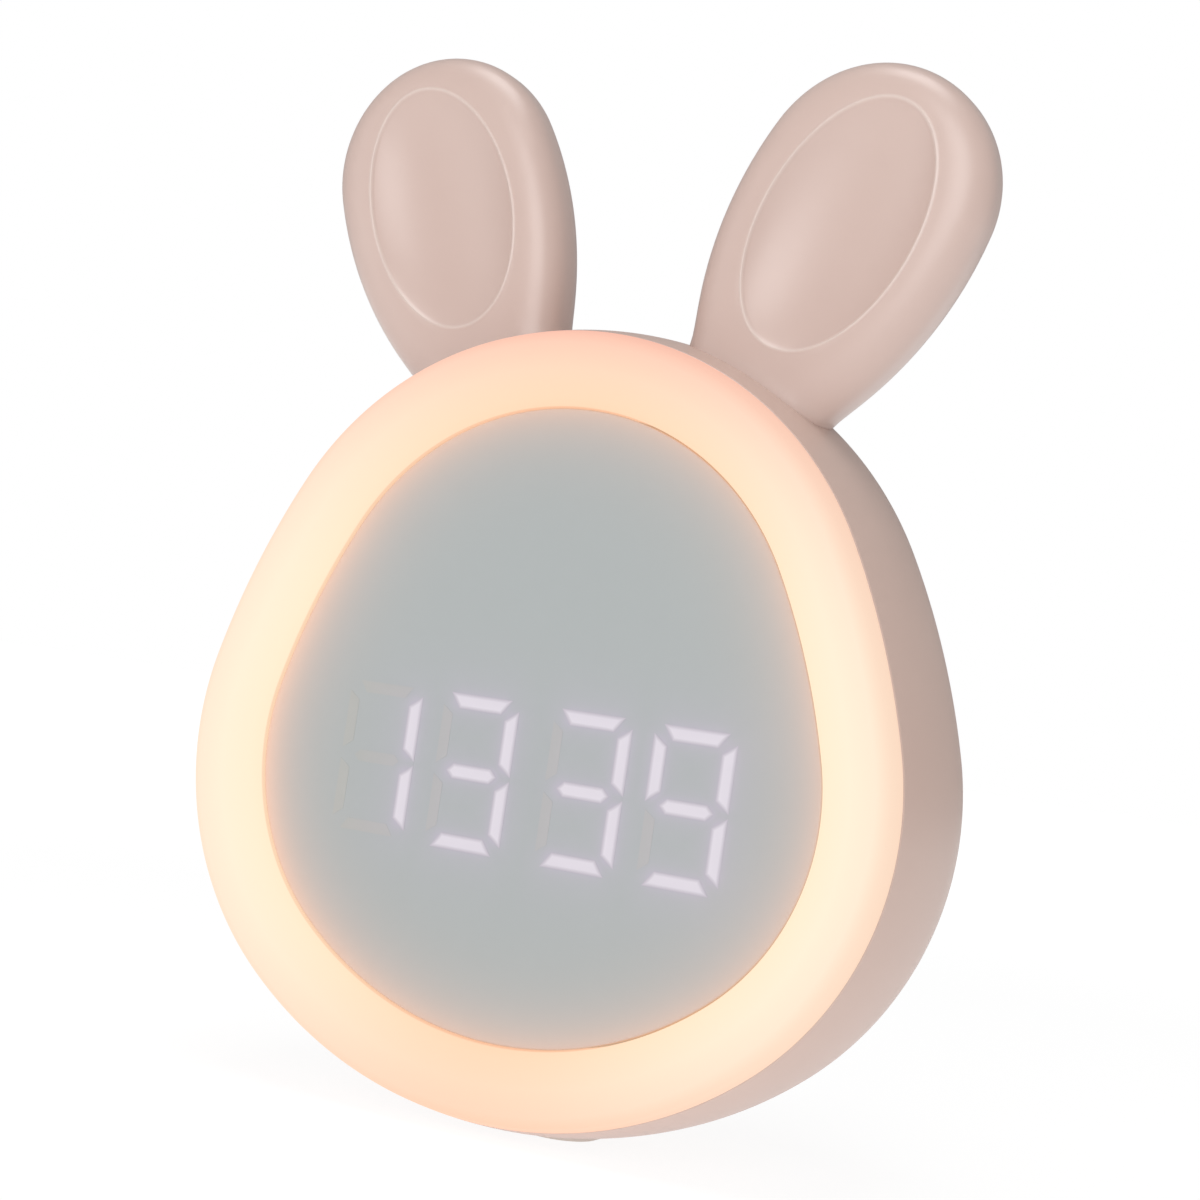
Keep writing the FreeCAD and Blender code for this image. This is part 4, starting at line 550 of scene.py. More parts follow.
# %% Light ring
RING_STEPS = 480
section = ring_section()
ring_mesh = make_mesh(
    "light_ring_skin", carry_round(section, RING_STEPS), grid_faces(RING_STEPS, len(section)))
place = points_of(ring_mesh)
share = np.clip((reach_of(place[:, 0], place[:, 2]) - RING_GAP) / (SEAM_REACH - RING_GAP), 0, 1)
# The wall of the inner lip takes the ramp's first colour, a light brown that is painted shade.
shaded_lip_wall = (share < 0.001) & (place[:, 1] > RING_LIP + 0.01)
store(ring_mesh, "across", np.where(shaded_lip_wall, 0.0, 0.1 + 0.9 * share))
steep = (place[:, 2] - CHEEK[1]) / np.hypot(place[:, 0], place[:, 2] - CHEEK[1])
store(ring_mesh, "top_and_bottom", np.abs(steep) ** 4)
store(ring_mesh, "crown_rim", np.clip(steep, 0, 1) ** 4 * share ** 2)
ring = make_piece(ring_mesh, ring_finish, "case", ["light_ring"])
soften_edges(ring, 0.2, 3, 35)

# %% [markdown]
# The figures. Each is made of seven bars with slanted ends, lettered a to g in the usual way: a on
# top, then clockwise, with g in the middle. A bar has six corners at most, so they are written by
# a formula and not drawn by hand.

# %% Corners of a bar
FIGURES = "1339"
LIT = {"1": "bc", "3": "abcdg", "9": "abcdfg"}
FIGURE_HEIGHT, FIGURE_WIDTH, FIGURE_PITCH, COLON_GAP = 20.9, 10.8, 16.5, 18.6
BAR_LONG, POST_LONG, MIDDLE_LONG, BEVEL, STROKE, POST_SHIFT = 9.3, 8.8, 7.8, 1.25, 1.72, 5.2
INNER, OUTER = COLON_GAP / 2, COLON_GAP / 2 + FIGURE_PITCH
FIGURE_PLACES = [-OUTER, -INNER, INNER, OUTER]


def bar_corners(letter, grow=0.0):
    """Corners (x, z) of a bar about its own middle, and the place of that middle in the figure.
    Every side moves outwards by grow."""
    half = STROKE / 2 + grow
    if letter == "g":
        run = MIDDLE_LONG / 2 + grow * math.sqrt(2)
        tip = run - half
        right = [(tip, half), (run, 0), (tip, -half)]
        left = [(-across, up) for across, up in reversed(right)]
        return np.array(right + left), (0, 0)
    lean = BEVEL / STROKE
    run = (BAR_LONG if letter in "ad" else POST_LONG) / 2 + grow * (math.hypot(1, lean) + lean)
    short = run - BEVEL - 2 * grow * lean
    trapeze = np.array([(-run, half), (run, half), (short, -half), (-short, -half)])
    if letter in "ad":
        flip = 1 if letter == "a" else -1
        return trapeze * (1, flip), (0, flip * FIGURE_HEIGHT / 2)
    across = 1 if letter in "bc" else -1
    up = 1 if letter in "bf" else -1
    return trapeze[:, ::-1] * (across, 1), (across * FIGURE_WIDTH / 2, up * POST_SHIFT)


print("middles of the figures:", FIGURE_PLACES)

# %% [markdown]
# A bar is a flat polygon pulled into a short block. The front of a lit bar has an inner polygon
# and a border round it, so that its light can fade from one to the other.

# %% Blocks
def strip(count):
    """Faces of a band between a loop of points and the next loop of as many."""
    turn = np.arange(count)
    after = (turn + 1) % count
    return np.stack([turn, after, after + count, turn + count], axis=-1).tolist()


def block(corners, low, high):
    """Points and faces of a flat polygon pulled from one depth to another."""
    count = len(corners)
    near = np.column_stack([corners[:, 0], np.full(count, low), corners[:, 1]])
    far = near + (0, high - low, 0)
    ends = [list(range(count)), list(range(2 * count - 1, count - 1, -1))]
    return np.concatenate([near, far]), ends + strip(count)


def faded_block(outer, inner, low, high):
    """A block whose front is the inner polygon, with a border out to the outer one. Its first
    points are the inner ones."""
    points, faces = block(outer, low, high)
    count = len(outer)
    front_points = np.column_stack([inner[:, 0], np.full(count, low), inner[:, 1]])
    moved = [[corner + count for corner in face] for face in faces[1:]]
    return np.concatenate([front_points, points]), [list(range(count))] + strip(count) + moved


def join_blocks(name, blocks):
    """One mesh of many separate blocks."""
    points, faces, count = [], [], 0
    for block_points, block_faces in blocks:
        points.append(block_points)
        faces += [[corner + count for corner in face] for face in block_faces]
        count += len(block_points)
    mesh = bpy.data.meshes.new(name)
    mesh.from_pydata((np.concatenate(points) * MM).tolist(), [], faces)
    form = bmesh.new()
    form.from_mesh(mesh)
    bmesh.ops.recalc_face_normals(form, faces=form.faces)
    form.to_mesh(mesh)
    form.free()
    return mesh


# %% [markdown]
# All bars of all figures. The bars lie in the face panel and stand a hair proud of it. The lit
# ones glow, and the unlit ones are a shade warmer than the panel and only just show. The two dots
# between the pairs are unlit too, and lie under the sheet, where they don't show. The line along
# each lit bar is kept for the halo.

# %% Bars of the figures
FADE, PROUD, LINE_HALF = 0.28, 0.03, 3.4
lit_low, lit_high = (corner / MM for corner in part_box("lit_segments"))
level = (lit_low.z + lit_high.z) / 2
depths = (panel - PROUD, lit_high.y)
bars = {"lit": [], "dark": []}
lit_lines, lit_cores = [], []
for figure, middle in zip(FIGURES, FIGURE_PLACES):
    for letter in "abcdefg":
        corners, (shift_x, shift_z) = bar_corners(letter)
        centre = np.array([middle + shift_x, level + shift_z])
        if letter not in LIT[figure]:
            bars["dark"].append(block(corners + centre, *depths))
            continue
        outer, inner = (bar_corners(letter, grow)[0] + centre for grow in (FADE, -FADE))
        bars["lit"].append(faded_block(outer, inner, *depths))
        lit_cores += [1.0] * len(outer) + [0.0] * 2 * len(outer)
        along = np.array([1, 0]) if letter in "adg" else np.array([0, 1])
        lit_lines.append((centre - along * LINE_HALF, centre + along * LINE_HALF))
print("lit bars:", len(bars["lit"]), "unlit bars:", len(bars["dark"]))

# %% [markdown]
# Light leaks into the sheet from two sides: from the ring at its edge, and from the lit bars. Each
# leak only depends on a distance, so it is worked out on the points and needs no lamps.

# %% Glows of the face
EDGE_FALL, HALO_WIDTH, HALO_FALL = 4.1, 1.4, 4.0


def distance_to_lines(x, z, lines):
    """Distance from each point to the nearest of several short lines."""
    start = np.array([first for first, second in lines])
    run = np.array([second - first for first, second in lines])
    offset_x, offset_z = x[:, None] - start[:, 0], z[:, None] - start[:, 1]
    along = np.clip((offset_x * run[:, 0] + offset_z * run[:, 1]) / (run ** 2).sum(axis=1), 0, 1)
    return np.hypot(offset_x - along * run[:, 0], offset_z - along * run[:, 1]).min(axis=1)


def store_glows(mesh):
    """Stores both glows. Formulas: the edge glow falls by e over a fixed distance from the ring
    and is up to two thirds stronger towards the left, as in the photograph, and the halo is half
    a bell curve and half a slower fall from the lines of the lit bars."""
    place = points_of(mesh)
    inset = np.clip(-reach_of(place[:, 0], place[:, 2]), 0, None)
    gap = distance_to_lines(place[:, 0], place[:, 2], lit_lines)
    leftward = np.clip(0.5 - place[:, 0] / width, 0, 1)
    store(mesh, "edge_glow", (0.6 + 0.4 * leftward ** 3) * np.exp(-inset / EDGE_FALL))
    store(mesh, "figure_glow", 0.5 * np.exp(-(gap / HALO_WIDTH) ** 2) + 0.5 * np.exp(-gap / HALO_FALL))


# %% [markdown]
# A lit bar is diffusing acrylic, moulded with a matt skin. It is brightest in its middle, over its
# lamp, and a touch lilac. Its light fades out in a border about half a millimetre wide, because it
# spreads in the sheet, so the border ends in the colour of the panel with its halo.

# %% Lit and unlit bars
HEART_WIDTH = 4.0


def make_lit_finish():
    """Two colours for the lamp's light, then a fade from the border to the core."""
    material, tree, shader = new_finish("lit diffusing acrylic", Roughness=0.5, Emission_Strength=1.0)
    heart = add_node(tree, "ShaderNodeAttribute", attribute_name="heart")
    core = add_node(tree, "ShaderNodeAttribute", attribute_name="core")
    light = add_node(
        tree, "ShaderNodeMix", [("Factor", heart.outputs["Fac"])], data_type="RGBA",
        A=linear("#7E7A80"), B=linear("#8E8A8E"))
    glow = add_node(
        tree, "ShaderNodeMix", [("Factor", core.outputs["Fac"]), ("B", light.outputs["Result"])],
        data_type="RGBA", A=linear("#4F2A55"))
    skin_colour = add_node(
        tree, "ShaderNodeMix", [("Factor", core.outputs["Fac"])], data_type="RGBA",
        A=linear("#AAADAC"), B=linear("#B4AFB7"))
    tree.links.new(glow.outputs["Result"], shader.inputs["Emission Color"])
    tree.links.new(skin_colour.outputs["Result"], shader.inputs["Base Color"])
    return material


lit_mesh = join_blocks("lit_bars", bars["lit"])
place = points_of(lit_mesh)
middles = np.array([(first + second) / 2 for first, second in lit_lines])
away = np.hypot(place[:, None, 0] - middles[:, 0], place[:, None, 2] - middles[:, 1]).min(axis=1)
store(lit_mesh, "heart", np.exp(-(away / HEART_WIDTH) ** 2))
store(lit_mesh, "core", lit_cores)
lit_bars = make_piece(lit_mesh, make_lit_finish(), "case", ["lit_segments"])
dark_mesh = join_blocks("dark_bars", bars["dark"])
store_glows(dark_mesh)
dark_bars = make_piece(dark_mesh, dark_finish, "case", ["dark_segments"])

# %% [markdown]
# The face panel is a flat sheet with a softened rim. A flat face needs only its outline, but its
# front is a grid that runs from the middle to the rim, fine enough to carry the two glows.

# %% Face panel
PANEL_STEPS, PANEL_RINGS = 480, 150
PANEL_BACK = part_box("face_panel")[1].y / MM


def panel_points():
    """Front grid, rim and back grid of the sheet. Formula: the outline's points shrunk towards
    the middle by a share, at the depth of the front or the back."""
    angle = np.linspace(0, 2 * math.pi, PANEL_STEPS, endpoint=False)[:, None]
    x, z = egg(angle)
    middle_z = CHEEK[1]
    share = np.concatenate([np.linspace(0, 1, PANEL_RINGS), [1.0, 0.0]])[None, :]
    depth = np.concatenate([np.full(PANEL_RINGS, panel), [PANEL_BACK, PANEL_BACK]])[None, :]
    return np.stack([x * share, depth + 0 * x, middle_z + (z - middle_z) * share], axis=-1)


sheet = panel_points()
panel_mesh = make_mesh("panel_sheet", sheet, grid_faces(PANEL_STEPS, sheet.shape[1], False))
store_glows(panel_mesh)
face = make_piece(panel_mesh, panel_finish, "case", ["face_panel"])
soften_edges(face, 0.2, 2, 40)

# %% [markdown]
# The ears. An ear is an egg-shaped cushion of plastic on its small end, with well rounded edges and
# an oval dish in its front. First its sizes, its outline and its dish: the dish's bottom is part of
# an ellipsoid, and a bead as fine as a hair runs along its rim.

# %% Outline and dish of an ear
EAR_BASE, EAR_TIP, EAR_FLANK = (0.0, 0.0, 10.2), (0.0, 33.1, 18.6), 58.8
DISH_RISE, DISH_HALF_LENGTH, DISH_HALF_WIDTH = 26.0, 20.0, 12.2
DISH_DEPTH, DISH_HOLLOW = 3.5, 8.0
BEAD_HEIGHT, BEAD_HALF_WIDTH = 0.09, 0.45
ear_flank = meeting_centre(EAR_TIP[:2], EAR_FLANK - EAR_TIP[2], EAR_BASE[:2], EAR_FLANK - EAR_BASE[2])
EAR_ARCS = [EAR_BASE, (*ear_flank, EAR_FLANK), EAR_TIP]
EAR_TURNS = [steepness(EAR_BASE, ear_flank), steepness(EAR_TIP, ear_flank)]
print("ear turns:", [round(math.degrees(turn), 1) for turn in EAR_TURNS])


def oval(angle, share):
    """Points of the dish's rim, shrunk by a share. Formula for the point of an ellipse whose
    outward direction has an angle: its half axes squared times the direction, divided by the
    length of the half axes times the direction."""
    run, rise = DISH_HALF_WIDTH * np.cos(angle), DISH_HALF_LENGTH * np.sin(angle)
    length = np.hypot(run, rise)
    return share * DISH_HALF_WIDTH * run / length, DISH_RISE + share * DISH_HALF_LENGTH * rise / length


def dish_depth(share):
    """Depth of the hollow at a share of the way to its rim: an ellipsoid's bottom."""
    flat = 1 - ((DISH_HOLLOW - DISH_DEPTH) / DISH_HOLLOW) ** 2
    return DISH_DEPTH - DISH_HOLLOW + DISH_HOLLOW * np.sqrt(1 - flat * share ** 2)


def bead(distance):
    """How far the thin bead on the dish's rim stands proud, at a distance from the rim: a raised
    cosine."""
    near = np.clip(np.abs(distance) / BEAD_HALF_WIDTH, 0, 1)
    return BEAD_HEIGHT * (0.5 + 0.5 * np.cos(math.pi * near))


def rim_share(across, up):
    """How near a point of the ear's front lies to the dish's rim, from 0 to 1. The distance from
    an ellipse is its level minus one, over the slope of that level."""
    run, rise = across / DISH_HALF_WIDTH, (up - DISH_RISE) / DISH_HALF_LENGTH
    level = np.hypot(run, rise) + 1e-9
    slope = np.hypot(run / DISH_HALF_WIDTH, rise / DISH_HALF_LENGTH) / level + 1e-9
    return bead((level - 1) / slope) / BEAD_HEIGHT


# %% [markdown]
# The ear's whole surface is one grid, so it has no seam to hide: from the middle of the dish out to
# the dish's rim, over the front, round the edge and across the back. A sculpted ball would come
# close, but a formula keeps both ears alike and the bead even.

# %% Surface of an ear
EAR_THICKNESS, EAR_FRONT_ROUND, EAR_BACK_ROUND, FULLNESS = 15.1, 5.3, 8.9, 2.4
EAR_STEPS = 320


def front_of_ear(angle):
    """Across, up and depth of the front, from the middle of the dish to the edge. Beyond the
    dish's rim it is a quarter of a superellipse: the share of the way, raised to the fullness,
    plus the share of the height left, raised to the same, is one."""
    close = BEAD_HALF_WIDTH / DISH_HALF_WIDTH
    share = np.concatenate([np.linspace(0, 1 - close, 34)[:-1], np.linspace(1 - close, 1, 7)])[None, :]
    dish_x, dish_z = oval(angle, share)
    dish_y = dish_depth(share) - bead((1 - share) * DISH_HALF_WIDTH) + 0 * angle
    inner_x, inner_z = oval(angle, 1.0)
    outer_x, outer_z = outline(EAR_ARCS, EAR_TURNS, angle)
    land = np.hypot(outer_x - inner_x, outer_z - inner_z)
    near = np.arcsin((BEAD_HALF_WIDTH / land * np.linspace(0, 1, 7)[None, 1:]) ** (FULLNESS / 2))
    far = near[:, -1:] + (math.pi / 2 - near[:, -1:]) * np.linspace(0, 1, 29)[None, 1:]
    turn = np.concatenate([near, far], axis=1)
    step = np.sin(turn) ** (2 / FULLNESS)
    land_x = inner_x + (outer_x - inner_x) * step
    land_z = inner_z + (outer_z - inner_z) * step
    drop = 1 - np.clip(np.cos(turn), 0, 1) ** (2 / FULLNESS)
    land_y = EAR_FRONT_ROUND * drop - bead(land * step)
    return [np.concatenate(pair, axis=1) for pair in ((dish_x, land_x), (dish_z, land_z), (dish_y, land_y))]


def back_of_ear(angle):
    """Across, up and depth of the back: a quarter round from the edge, and then a flat that
    shrinks to a point."""
    turn = np.linspace(0, math.pi / 2, 24)[None, 1:]
    round_x, round_z = outline(
        EAR_ARCS, EAR_TURNS, angle + 0 * turn, -EAR_BACK_ROUND + EAR_BACK_ROUND * np.cos(turn))
    round_y = EAR_THICKNESS - EAR_BACK_ROUND * (1 - np.sin(turn)) + 0 * angle
    shrink = 1 - np.linspace(0, 1, 16)[None, 1:]
    flat_x = round_x[:, -1:] * shrink
    flat_z = DISH_RISE + (round_z[:, -1:] - DISH_RISE) * shrink
    flat_y = EAR_THICKNESS + 0 * flat_x
    return [np.concatenate(pair, axis=1) for pair in ((round_x, flat_x), (round_z, flat_z), (round_y, flat_y))]


def ear_grid():
    """Across, up and depth of an ear in its own upright frame, as three grids."""
    angle = np.linspace(0, 2 * math.pi, EAR_STEPS, endpoint=False)[:, None]
    return [np.concatenate(pair, axis=1) for pair in zip(front_of_ear(angle), back_of_ear(angle))]


# %% [markdown]
# Each ear leans outwards and stands on the round top of the body. The real ears are screwed on from
# inside and sit in the shell without a gap. A small flare blends ear and body, and the ear's foot
# ends inside the body's wall, so that no crack can show from any side.

# %% Ears
EAR_ROOT, EAR_TILT = (22.5, 114.3), math.radians(24.3)
FLARE, FLARE_HEIGHT, FLARE_TOP, SINK = 0.6, 1.6, 20.0, 1.8
# Strength of the painted highlight on the dish's rim, and how far behind the ear's front it reaches.
RIM_HIGHLIGHT, RIM_DEPTH = 0.4, 2.0
ear_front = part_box("right_ear")[0].y / MM


def surface_radius(depth):
    """Distance of the body's surface from the crown's centre at a depth: the crown's radius plus
    the reach of the side arc before the girth, or of the shoulder arc behind it."""
    run = (depth - girth) ** 2
    side = SIDE[1] + np.sqrt(SIDE_RADIUS ** 2 - run)
    shoulder = SHOULDER[1] + np.sqrt(SHOULDER_RADIUS ** 2 - run)
    return CROWN[2] + np.where(depth < girth, side, shoulder)


def set_on_body(x, y, z, side, up):
    """Flares an ear's root and sinks its foot. Formulas: points move away from the ear's middle
    line by the flare, which falls by e over its height above the body, and points deeper than
    the sink move out along the crown's radius."""
    height = np.hypot(x, z - CROWN[1]) - surface_radius(y)
    push = FLARE * np.exp(-np.clip(height, 0, None) / FLARE_HEIGHT)
    middle = EAR_ROOT[0] + np.clip(up, -EAR_BASE[2], FLARE_TOP) * math.sin(EAR_TILT)
    away_x, away_y = x - side * middle, y - (ear_front + EAR_THICKNESS / 2)
    length = np.hypot(away_x, away_y) + 1e-9
    x, y = x + push * away_x / length, y + push * away_y / length
    radius = np.hypot(x, z - CROWN[1])
    stretch = np.maximum(radius, surface_radius(y) - SINK) / radius
    return x * stretch, y, CROWN[1] + (z - CROWN[1]) * stretch


def make_ear(name, side):
    """Leans the upright ear outwards, sets it on the body and stores how near the rim is, as the strength of a
    painted highlight.
    """
    cosine, sine = math.cos(EAR_TILT), math.sin(EAR_TILT)
    across, up, depth = ear_grid()
    x = side * (EAR_ROOT[0] + across * cosine + up * sine)
    z = EAR_ROOT[1] - across * sine + up * cosine
    points = np.stack(set_on_body(x, ear_front + depth, z, side, up), axis=-1)
    mesh = make_mesh(name + "_skin", points, grid_faces(*points.shape[:2], False))
    place = points_of(mesh)
    out, rise = side * place[:, 0] - EAR_ROOT[0], place[:, 2] - EAR_ROOT[1]
    nearness = rim_share(out * cosine - rise * sine, out * sine + rise * cosine)
    # The rim's paler colour is a painted highlight, on the front of the ear only.
    store(mesh, "rim", RIM_HIGHLIGHT * nearness * (place[:, 1] < ear_front + RIM_DEPTH))
    ear = make_piece(mesh, soft_pink, "case", [name])


make_ear("right_ear", 1)
make_ear("left_ear", -1)

# %% [markdown]
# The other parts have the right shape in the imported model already, and most lie inside, out of
# sight. Each gets the finish of what it is made of. Zinc-plated steel has its own function,
# because it is a metal and isn't moulded.

# %% Finishes of the small parts
# Silicone rubber, pressed: creamy and matt, without a clear highlight.
key_rubber = moulded("silicone key rubber", "#EDE5E0", "#E8DFDA", 0.55, grain_mm=0.3)
# Glass-filled nylon, moulded: nearly black with a dull sheen.
black_nylon = moulded("black glass-filled nylon", "#1B1B1D", "#222225", 0.5, grain_mm=0.3)
# Acetal, moulded: a slippery, slightly glossy grey.
grey_acetal = moulded("grey acetal", "#5A5A5D", "#626266", 0.4)
# Silicone, cast: milky, and duller than the keys.
foot_silicone = moulded("milky silicone", "#F1ECE6", "#EBE5DE", 0.6, grain_mm=0.5)
# ABS, moulded without a coat: a clean white that spreads the lamps' light.
white_abs = moulded("white ABS", "#E6E6E2", "#DEDEDA", 0.45)
# Solder mask, printed over glass cloth: green and fairly glossy, with the cloth's unevenness,
# which is drawn a little coarse.
solder_mask = moulded("green solder mask", "#1F5A35", "#236640", 0.35, patch_mm=6.0, grain_mm=0.8)
# Resin with phosphor, cast into the lamps: a bright, glossy yellow.
lamp_resin = moulded("yellow phosphor lamp resin", "#F2E08A", "#EAD67C", 0.3, patch_mm=2.0)
# Pressed steel, painted: a flat black with a soft highlight.
speaker_steel = moulded("black painted steel", "#141416", "#1C1C1E", 0.4, grain_mm=0.5)
# Polymer sleeve, shrunk on with heat: a smooth, glossy blue.
cell_sleeve = moulded("blue shrink sleeve", "#2A5488", "#315D95", 0.35, patch_mm=10.0)


def make_zinc_finish():
    """Steel, turned or pressed, and zinc-plated: a bright grey metal whose highlight is broken by
    crystals of zinc, drawn at 0.25 mm, coarser than real ones."""
    material, tree, shader = new_finish(
        "zinc-plated steel", Base_Color=linear("#B9BABD"), Metallic=1.0, Roughness=0.3)
    place = add_node(tree, "ShaderNodeTexCoord").outputs["Object"]
    height = add_grain(tree, shader, place, 0.25, 0.004)
    rough = add_node(tree, "ShaderNodeMapRange", [("Value", height)], To_Min=0.22, To_Max=0.4)
    tree.links.new(rough.outputs["Result"], shader.inputs["Roughness"])
    return material


zinc = make_zinc_finish()

# %% [markdown]
# The rear cover and the keys show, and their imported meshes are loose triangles. A welded copy of
# each is shaded smoothly. The cover's outside is a part of the body's domed rear, with many holes
# in it: there the shading comes from the dome's formula, so that no hole disturbs it. To draw the
# cover again with all its slots would be far more work and no better.

# %% Smooth copies of the rear cover and the keys
ON_DOME, FACING_OUT = 0.05, 0.94


def smooth_copy(node, material, body):
    """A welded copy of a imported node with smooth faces."""
    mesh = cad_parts[node].data.copy()
    mesh.name = node + "_smooth"
    form = bmesh.new()
    form.from_mesh(mesh)
    bmesh.ops.remove_doubles(form, verts=form.verts, dist=1e-6)
    bmesh.ops.dissolve_limit(
        form, angle_limit=math.radians(1.0), verts=form.verts, edges=form.edges)
    form.to_mesh(mesh)
    form.free()
    mesh.shade_smooth()
    piece = make_piece(mesh, material, body, [node])
    return mesh


def shade_as_dome(mesh):
    """Shades a mesh by the exact directions of the body's rear. Formula: at a point of the rear arc
    the direction runs from the arc's centre to the point, and in the flat middle straight back.
    Corners off the dome keep their own smooth or sharp shading."""
    mesh.set_sharp_from_angle(angle=math.radians(30))
    count = len(mesh.loops)
    shading = np.empty(count * 3, np.float32)
    mesh.corner_normals.foreach_get("vector", shading)
    vertex = np.empty(count, np.int32)
    mesh.loops.foreach_get("vertex_index", vertex)
    facing = np.empty(len(mesh.polygons) * 3, np.float32)
    mesh.polygons.foreach_get("normal", facing)
    sides = np.empty(len(mesh.polygons), np.int32)
    mesh.polygons.foreach_get("loop_total", sides)
    facing = np.repeat(facing.reshape(-1, 3), sides, axis=0)
    place = points_of(mesh)[vertex]
    out_x, out_z = outward_of(place[:, 0], place[:, 2])
    run = np.maximum(reach_of(place[:, 0], place[:, 2]) - BACK[1], 0)
    depth = place[:, 1] - BACK[0]
    exact = np.stack([out_x * run, depth, out_z * run], axis=-1) / REAR_RADIUS
    near = np.abs(np.hypot(depth, run) - REAR_RADIUS) < ON_DOME
    on_dome = near & ((exact * facing).sum(axis=1) > FACING_OUT)
    mesh.normals_split_custom_set(np.where(on_dome[:, None], exact, shading.reshape(-1, 3)).tolist())
    print("corners shaded as the dome:", int(on_dome.sum()), "of", count)


shade_as_dome(smooth_copy("rear_cover", painted_warm_pink, "case"))
KEYS = ["alarm", "minus", "plus", "light"]
for key in KEYS:
    smooth_copy(key + "_key", key_rubber, key + "_button")

# %% [markdown]
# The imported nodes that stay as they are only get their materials. Their meshes aren't touched.

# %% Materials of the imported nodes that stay
FINISHES = {
    "colon_dots": dark_finish, "foot_pad": foot_silicone, "inner_frame": white_abs,
    "segment_housing": white_abs, "battery_cradle": white_abs, "ring_light_board": solder_mask,
    "display_board": solder_mask, "main_board": solder_mask, "ring_leds": lamp_resin,
    "display_leds": lamp_resin, "ear_screws": zinc, "display_screws": zinc, "frame_screws": zinc,
    "cover_screws": zinc, "board_screws": zinc, "slide_switch": zinc, "charge_socket": zinc,
    "key_switches": black_nylon, "power_slider": black_nylon, "speaker": speaker_steel,
    "battery_cell": cell_sleeve,
}
for key in KEYS:
    FINISHES[key + "_plunger"] = grey_acetal
for node, finish in FINISHES.items():
    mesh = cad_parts[node].data
    mesh.materials.clear()
    mesh.materials.append(finish)
print("packed nodes with a finish:", len(FINISHES))

# %% [markdown]
# The ground. The photograph has a plain white one, so the floor is white to the camera, and only a
# faint shadow stays on it. For all other rays the floor is a light table: a lit white sheet whose
# glow fills the underside of the body. One material does both, because it can ask what kind of ray
# has hit it.

# %% Floor
FLOOR_HALF = 3.0


def make_floor():
    """A square of white paper. To the camera it is a glow that rises from near to far, and a thin
    diffuse layer that takes the shadow."""
    mesh = bpy.data.meshes.new("floor")
    corners = [(x * FLOOR_HALF, y * FLOOR_HALF, 0) for x, y in ((-1, -1), (1, -1), (1, 1), (-1, 1))]
    mesh.from_pydata(corners, [], [(0, 1, 2, 3)])
    floor = bpy.data.objects.new("floor", mesh)
    bpy.context.scene.collection.objects.link(floor)
    material, tree, shader = new_finish(
        "white paper ground", Base_Color=linear("#EDEDED"), Roughness=0.9,
        Emission_Color=linear("#FFFFFF"), Emission_Strength=0.44)
    path = add_node(tree, "ShaderNodeLightPath")
    seen = add_node(
        tree, "ShaderNodeMath", [(0, path.outputs["Is Camera Ray"]), (1, path.outputs["Is Glossy Ray"])],
        operation="MAXIMUM")
    place = add_node(tree, "ShaderNodeTexCoord").outputs["Object"]
    away = add_node(tree, "ShaderNodeVectorMath", [(0, place)], operation="LENGTH")
    level = add_node(
        tree, "ShaderNodeMapRange", [("Value", away.outputs["Value"])],
        From_Min=0.3, From_Max=1.0, To_Min=0.89, To_Max=0.97)
    glow = add_node(tree, "ShaderNodeEmission", [("Strength", level.outputs["Result"])])
    paper = add_node(tree, "ShaderNodeBsdfDiffuse", Color=linear("#6F6F6F"))
    white = add_node(tree, "ShaderNodeAddShader", [(0, glow.outputs[0]), (1, paper.outputs[0])])
    mix = add_node(
        tree, "ShaderNodeMixShader", [(0, seen.outputs[0]), (1, shader.outputs[0]), (2, white.outputs[0])])
    tree.links.new(mix.outputs[0], tree.nodes["Material Output"].inputs["Surface"])
    mesh.materials.append(material)


make_floor()

# %% [markdown]
# The light is soft, as in a studio: a lamp in front on the right, a weaker one from the left, a
# wide one from above, and an even sky, which the camera sees as plain white.

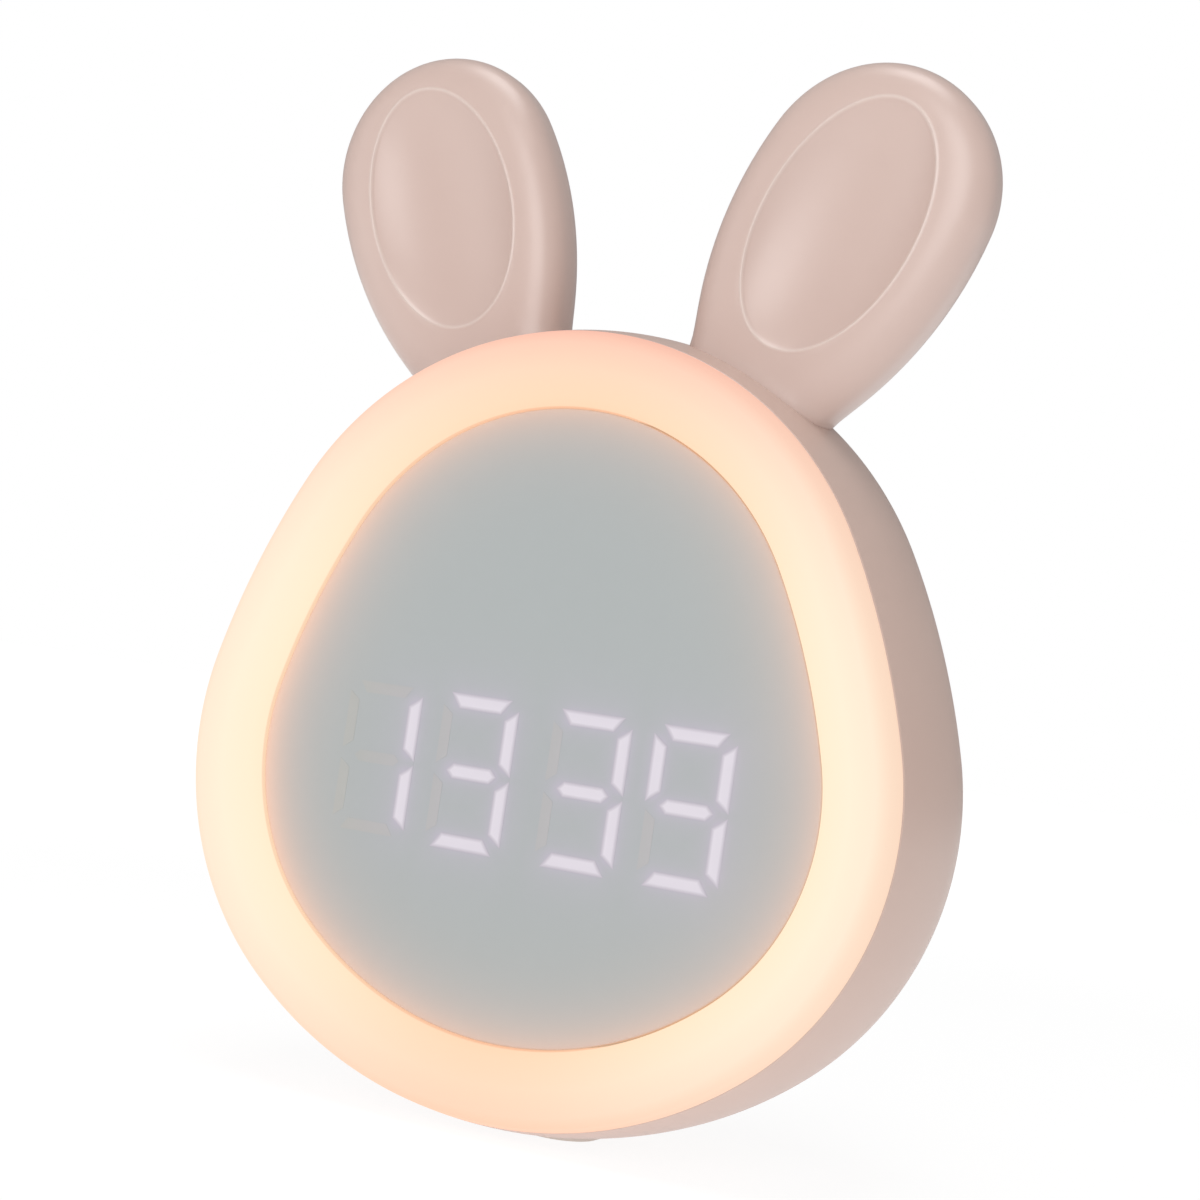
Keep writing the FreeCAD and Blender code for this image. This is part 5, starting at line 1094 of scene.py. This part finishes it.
# %% Sky and lamps
def make_world():
    """White to the camera, and a dimmer sky for the light on the object."""
    world = bpy.data.worlds.new("soft sky")
    bpy.context.scene.world = world
    world.use_nodes = True
    tree = world.node_tree
    sky = tree.nodes["Background"]
    sky.inputs["Color"].default_value = linear("#FFFFFF")
    sky.inputs["Strength"].default_value = 0.4
    path = add_node(tree, "ShaderNodeLightPath")
    white = add_node(tree, "ShaderNodeBackground", Color=linear("#FFFFFF"), Strength=1.0)
    mix = add_node(
        tree, "ShaderNodeMixShader",
        [(0, path.outputs["Is Camera Ray"]), (1, sky.outputs[0]), (2, white.outputs[0])])
    tree.links.new(mix.outputs[0], tree.nodes["World Output"].inputs["Surface"])


def add_lamp(name, place, size, watts):
    """A square soft box that faces the middle of the clock."""
    data = bpy.data.lights.new(name, "AREA")
    data.size = size
    data.energy = watts
    lamp = bpy.data.objects.new(name, data)
    lamp.location = place
    aim = Vector((0, 0, 0.08)) - Vector(place)
    lamp.rotation_euler = aim.to_track_quat("-Z", "Y").to_euler()
    bpy.context.scene.collection.objects.link(lamp)
    print("lamp:", name, watts, "W")


make_world()
add_lamp("key soft box", (0.27, -1.13, 0.48), 0.7, 4.6)
add_lamp("left soft box", (-0.9, -0.8, 0.3), 0.6, 0.8)
add_lamp("top soft box", (0.0, -0.3, 1.2), 0.6, 4.2)

# %% [markdown]
# The camera stands well to the right of the clock, a little below its middle, and is turned a
# little. Its place, its directions and its lens, about 68 mm on a full frame, were worked out from
# the outline in the photograph.

# %% Camera
CAMERA_PLACE = (153.07, -317.4, 66.14)
CAMERA_RIGHT = (0.8909, 0.4305, 0.1453)
CAMERA_AHEAD = (-0.44012, 0.89702, 0.04062)
LENS, SENSOR = 68.18, 36.0


def make_camera():
    """A camera whose axes are made square: up is across right and ahead, and right follows."""
    ahead = Vector(CAMERA_AHEAD).normalized()
    up = Vector(CAMERA_RIGHT).normalized().cross(ahead).normalized()
    right = ahead.cross(up)
    data = bpy.data.cameras.new("camera")
    data.sensor_width = SENSOR
    data.lens = LENS
    data.clip_start = 0.01
    camera = bpy.data.objects.new("camera", data)
    camera.matrix_world = Matrix((right, up, -ahead)).transposed().to_4x4()
    camera.location = Vector(CAMERA_PLACE) * MM
    bpy.context.scene.collection.objects.link(camera)
    bpy.context.scene.camera = camera
    print("camera:", round(data.lens, 1), "mm lens at", CAMERA_PLACE, "mm")


make_camera()
bpy.context.scene.view_settings.view_transform = "Standard"
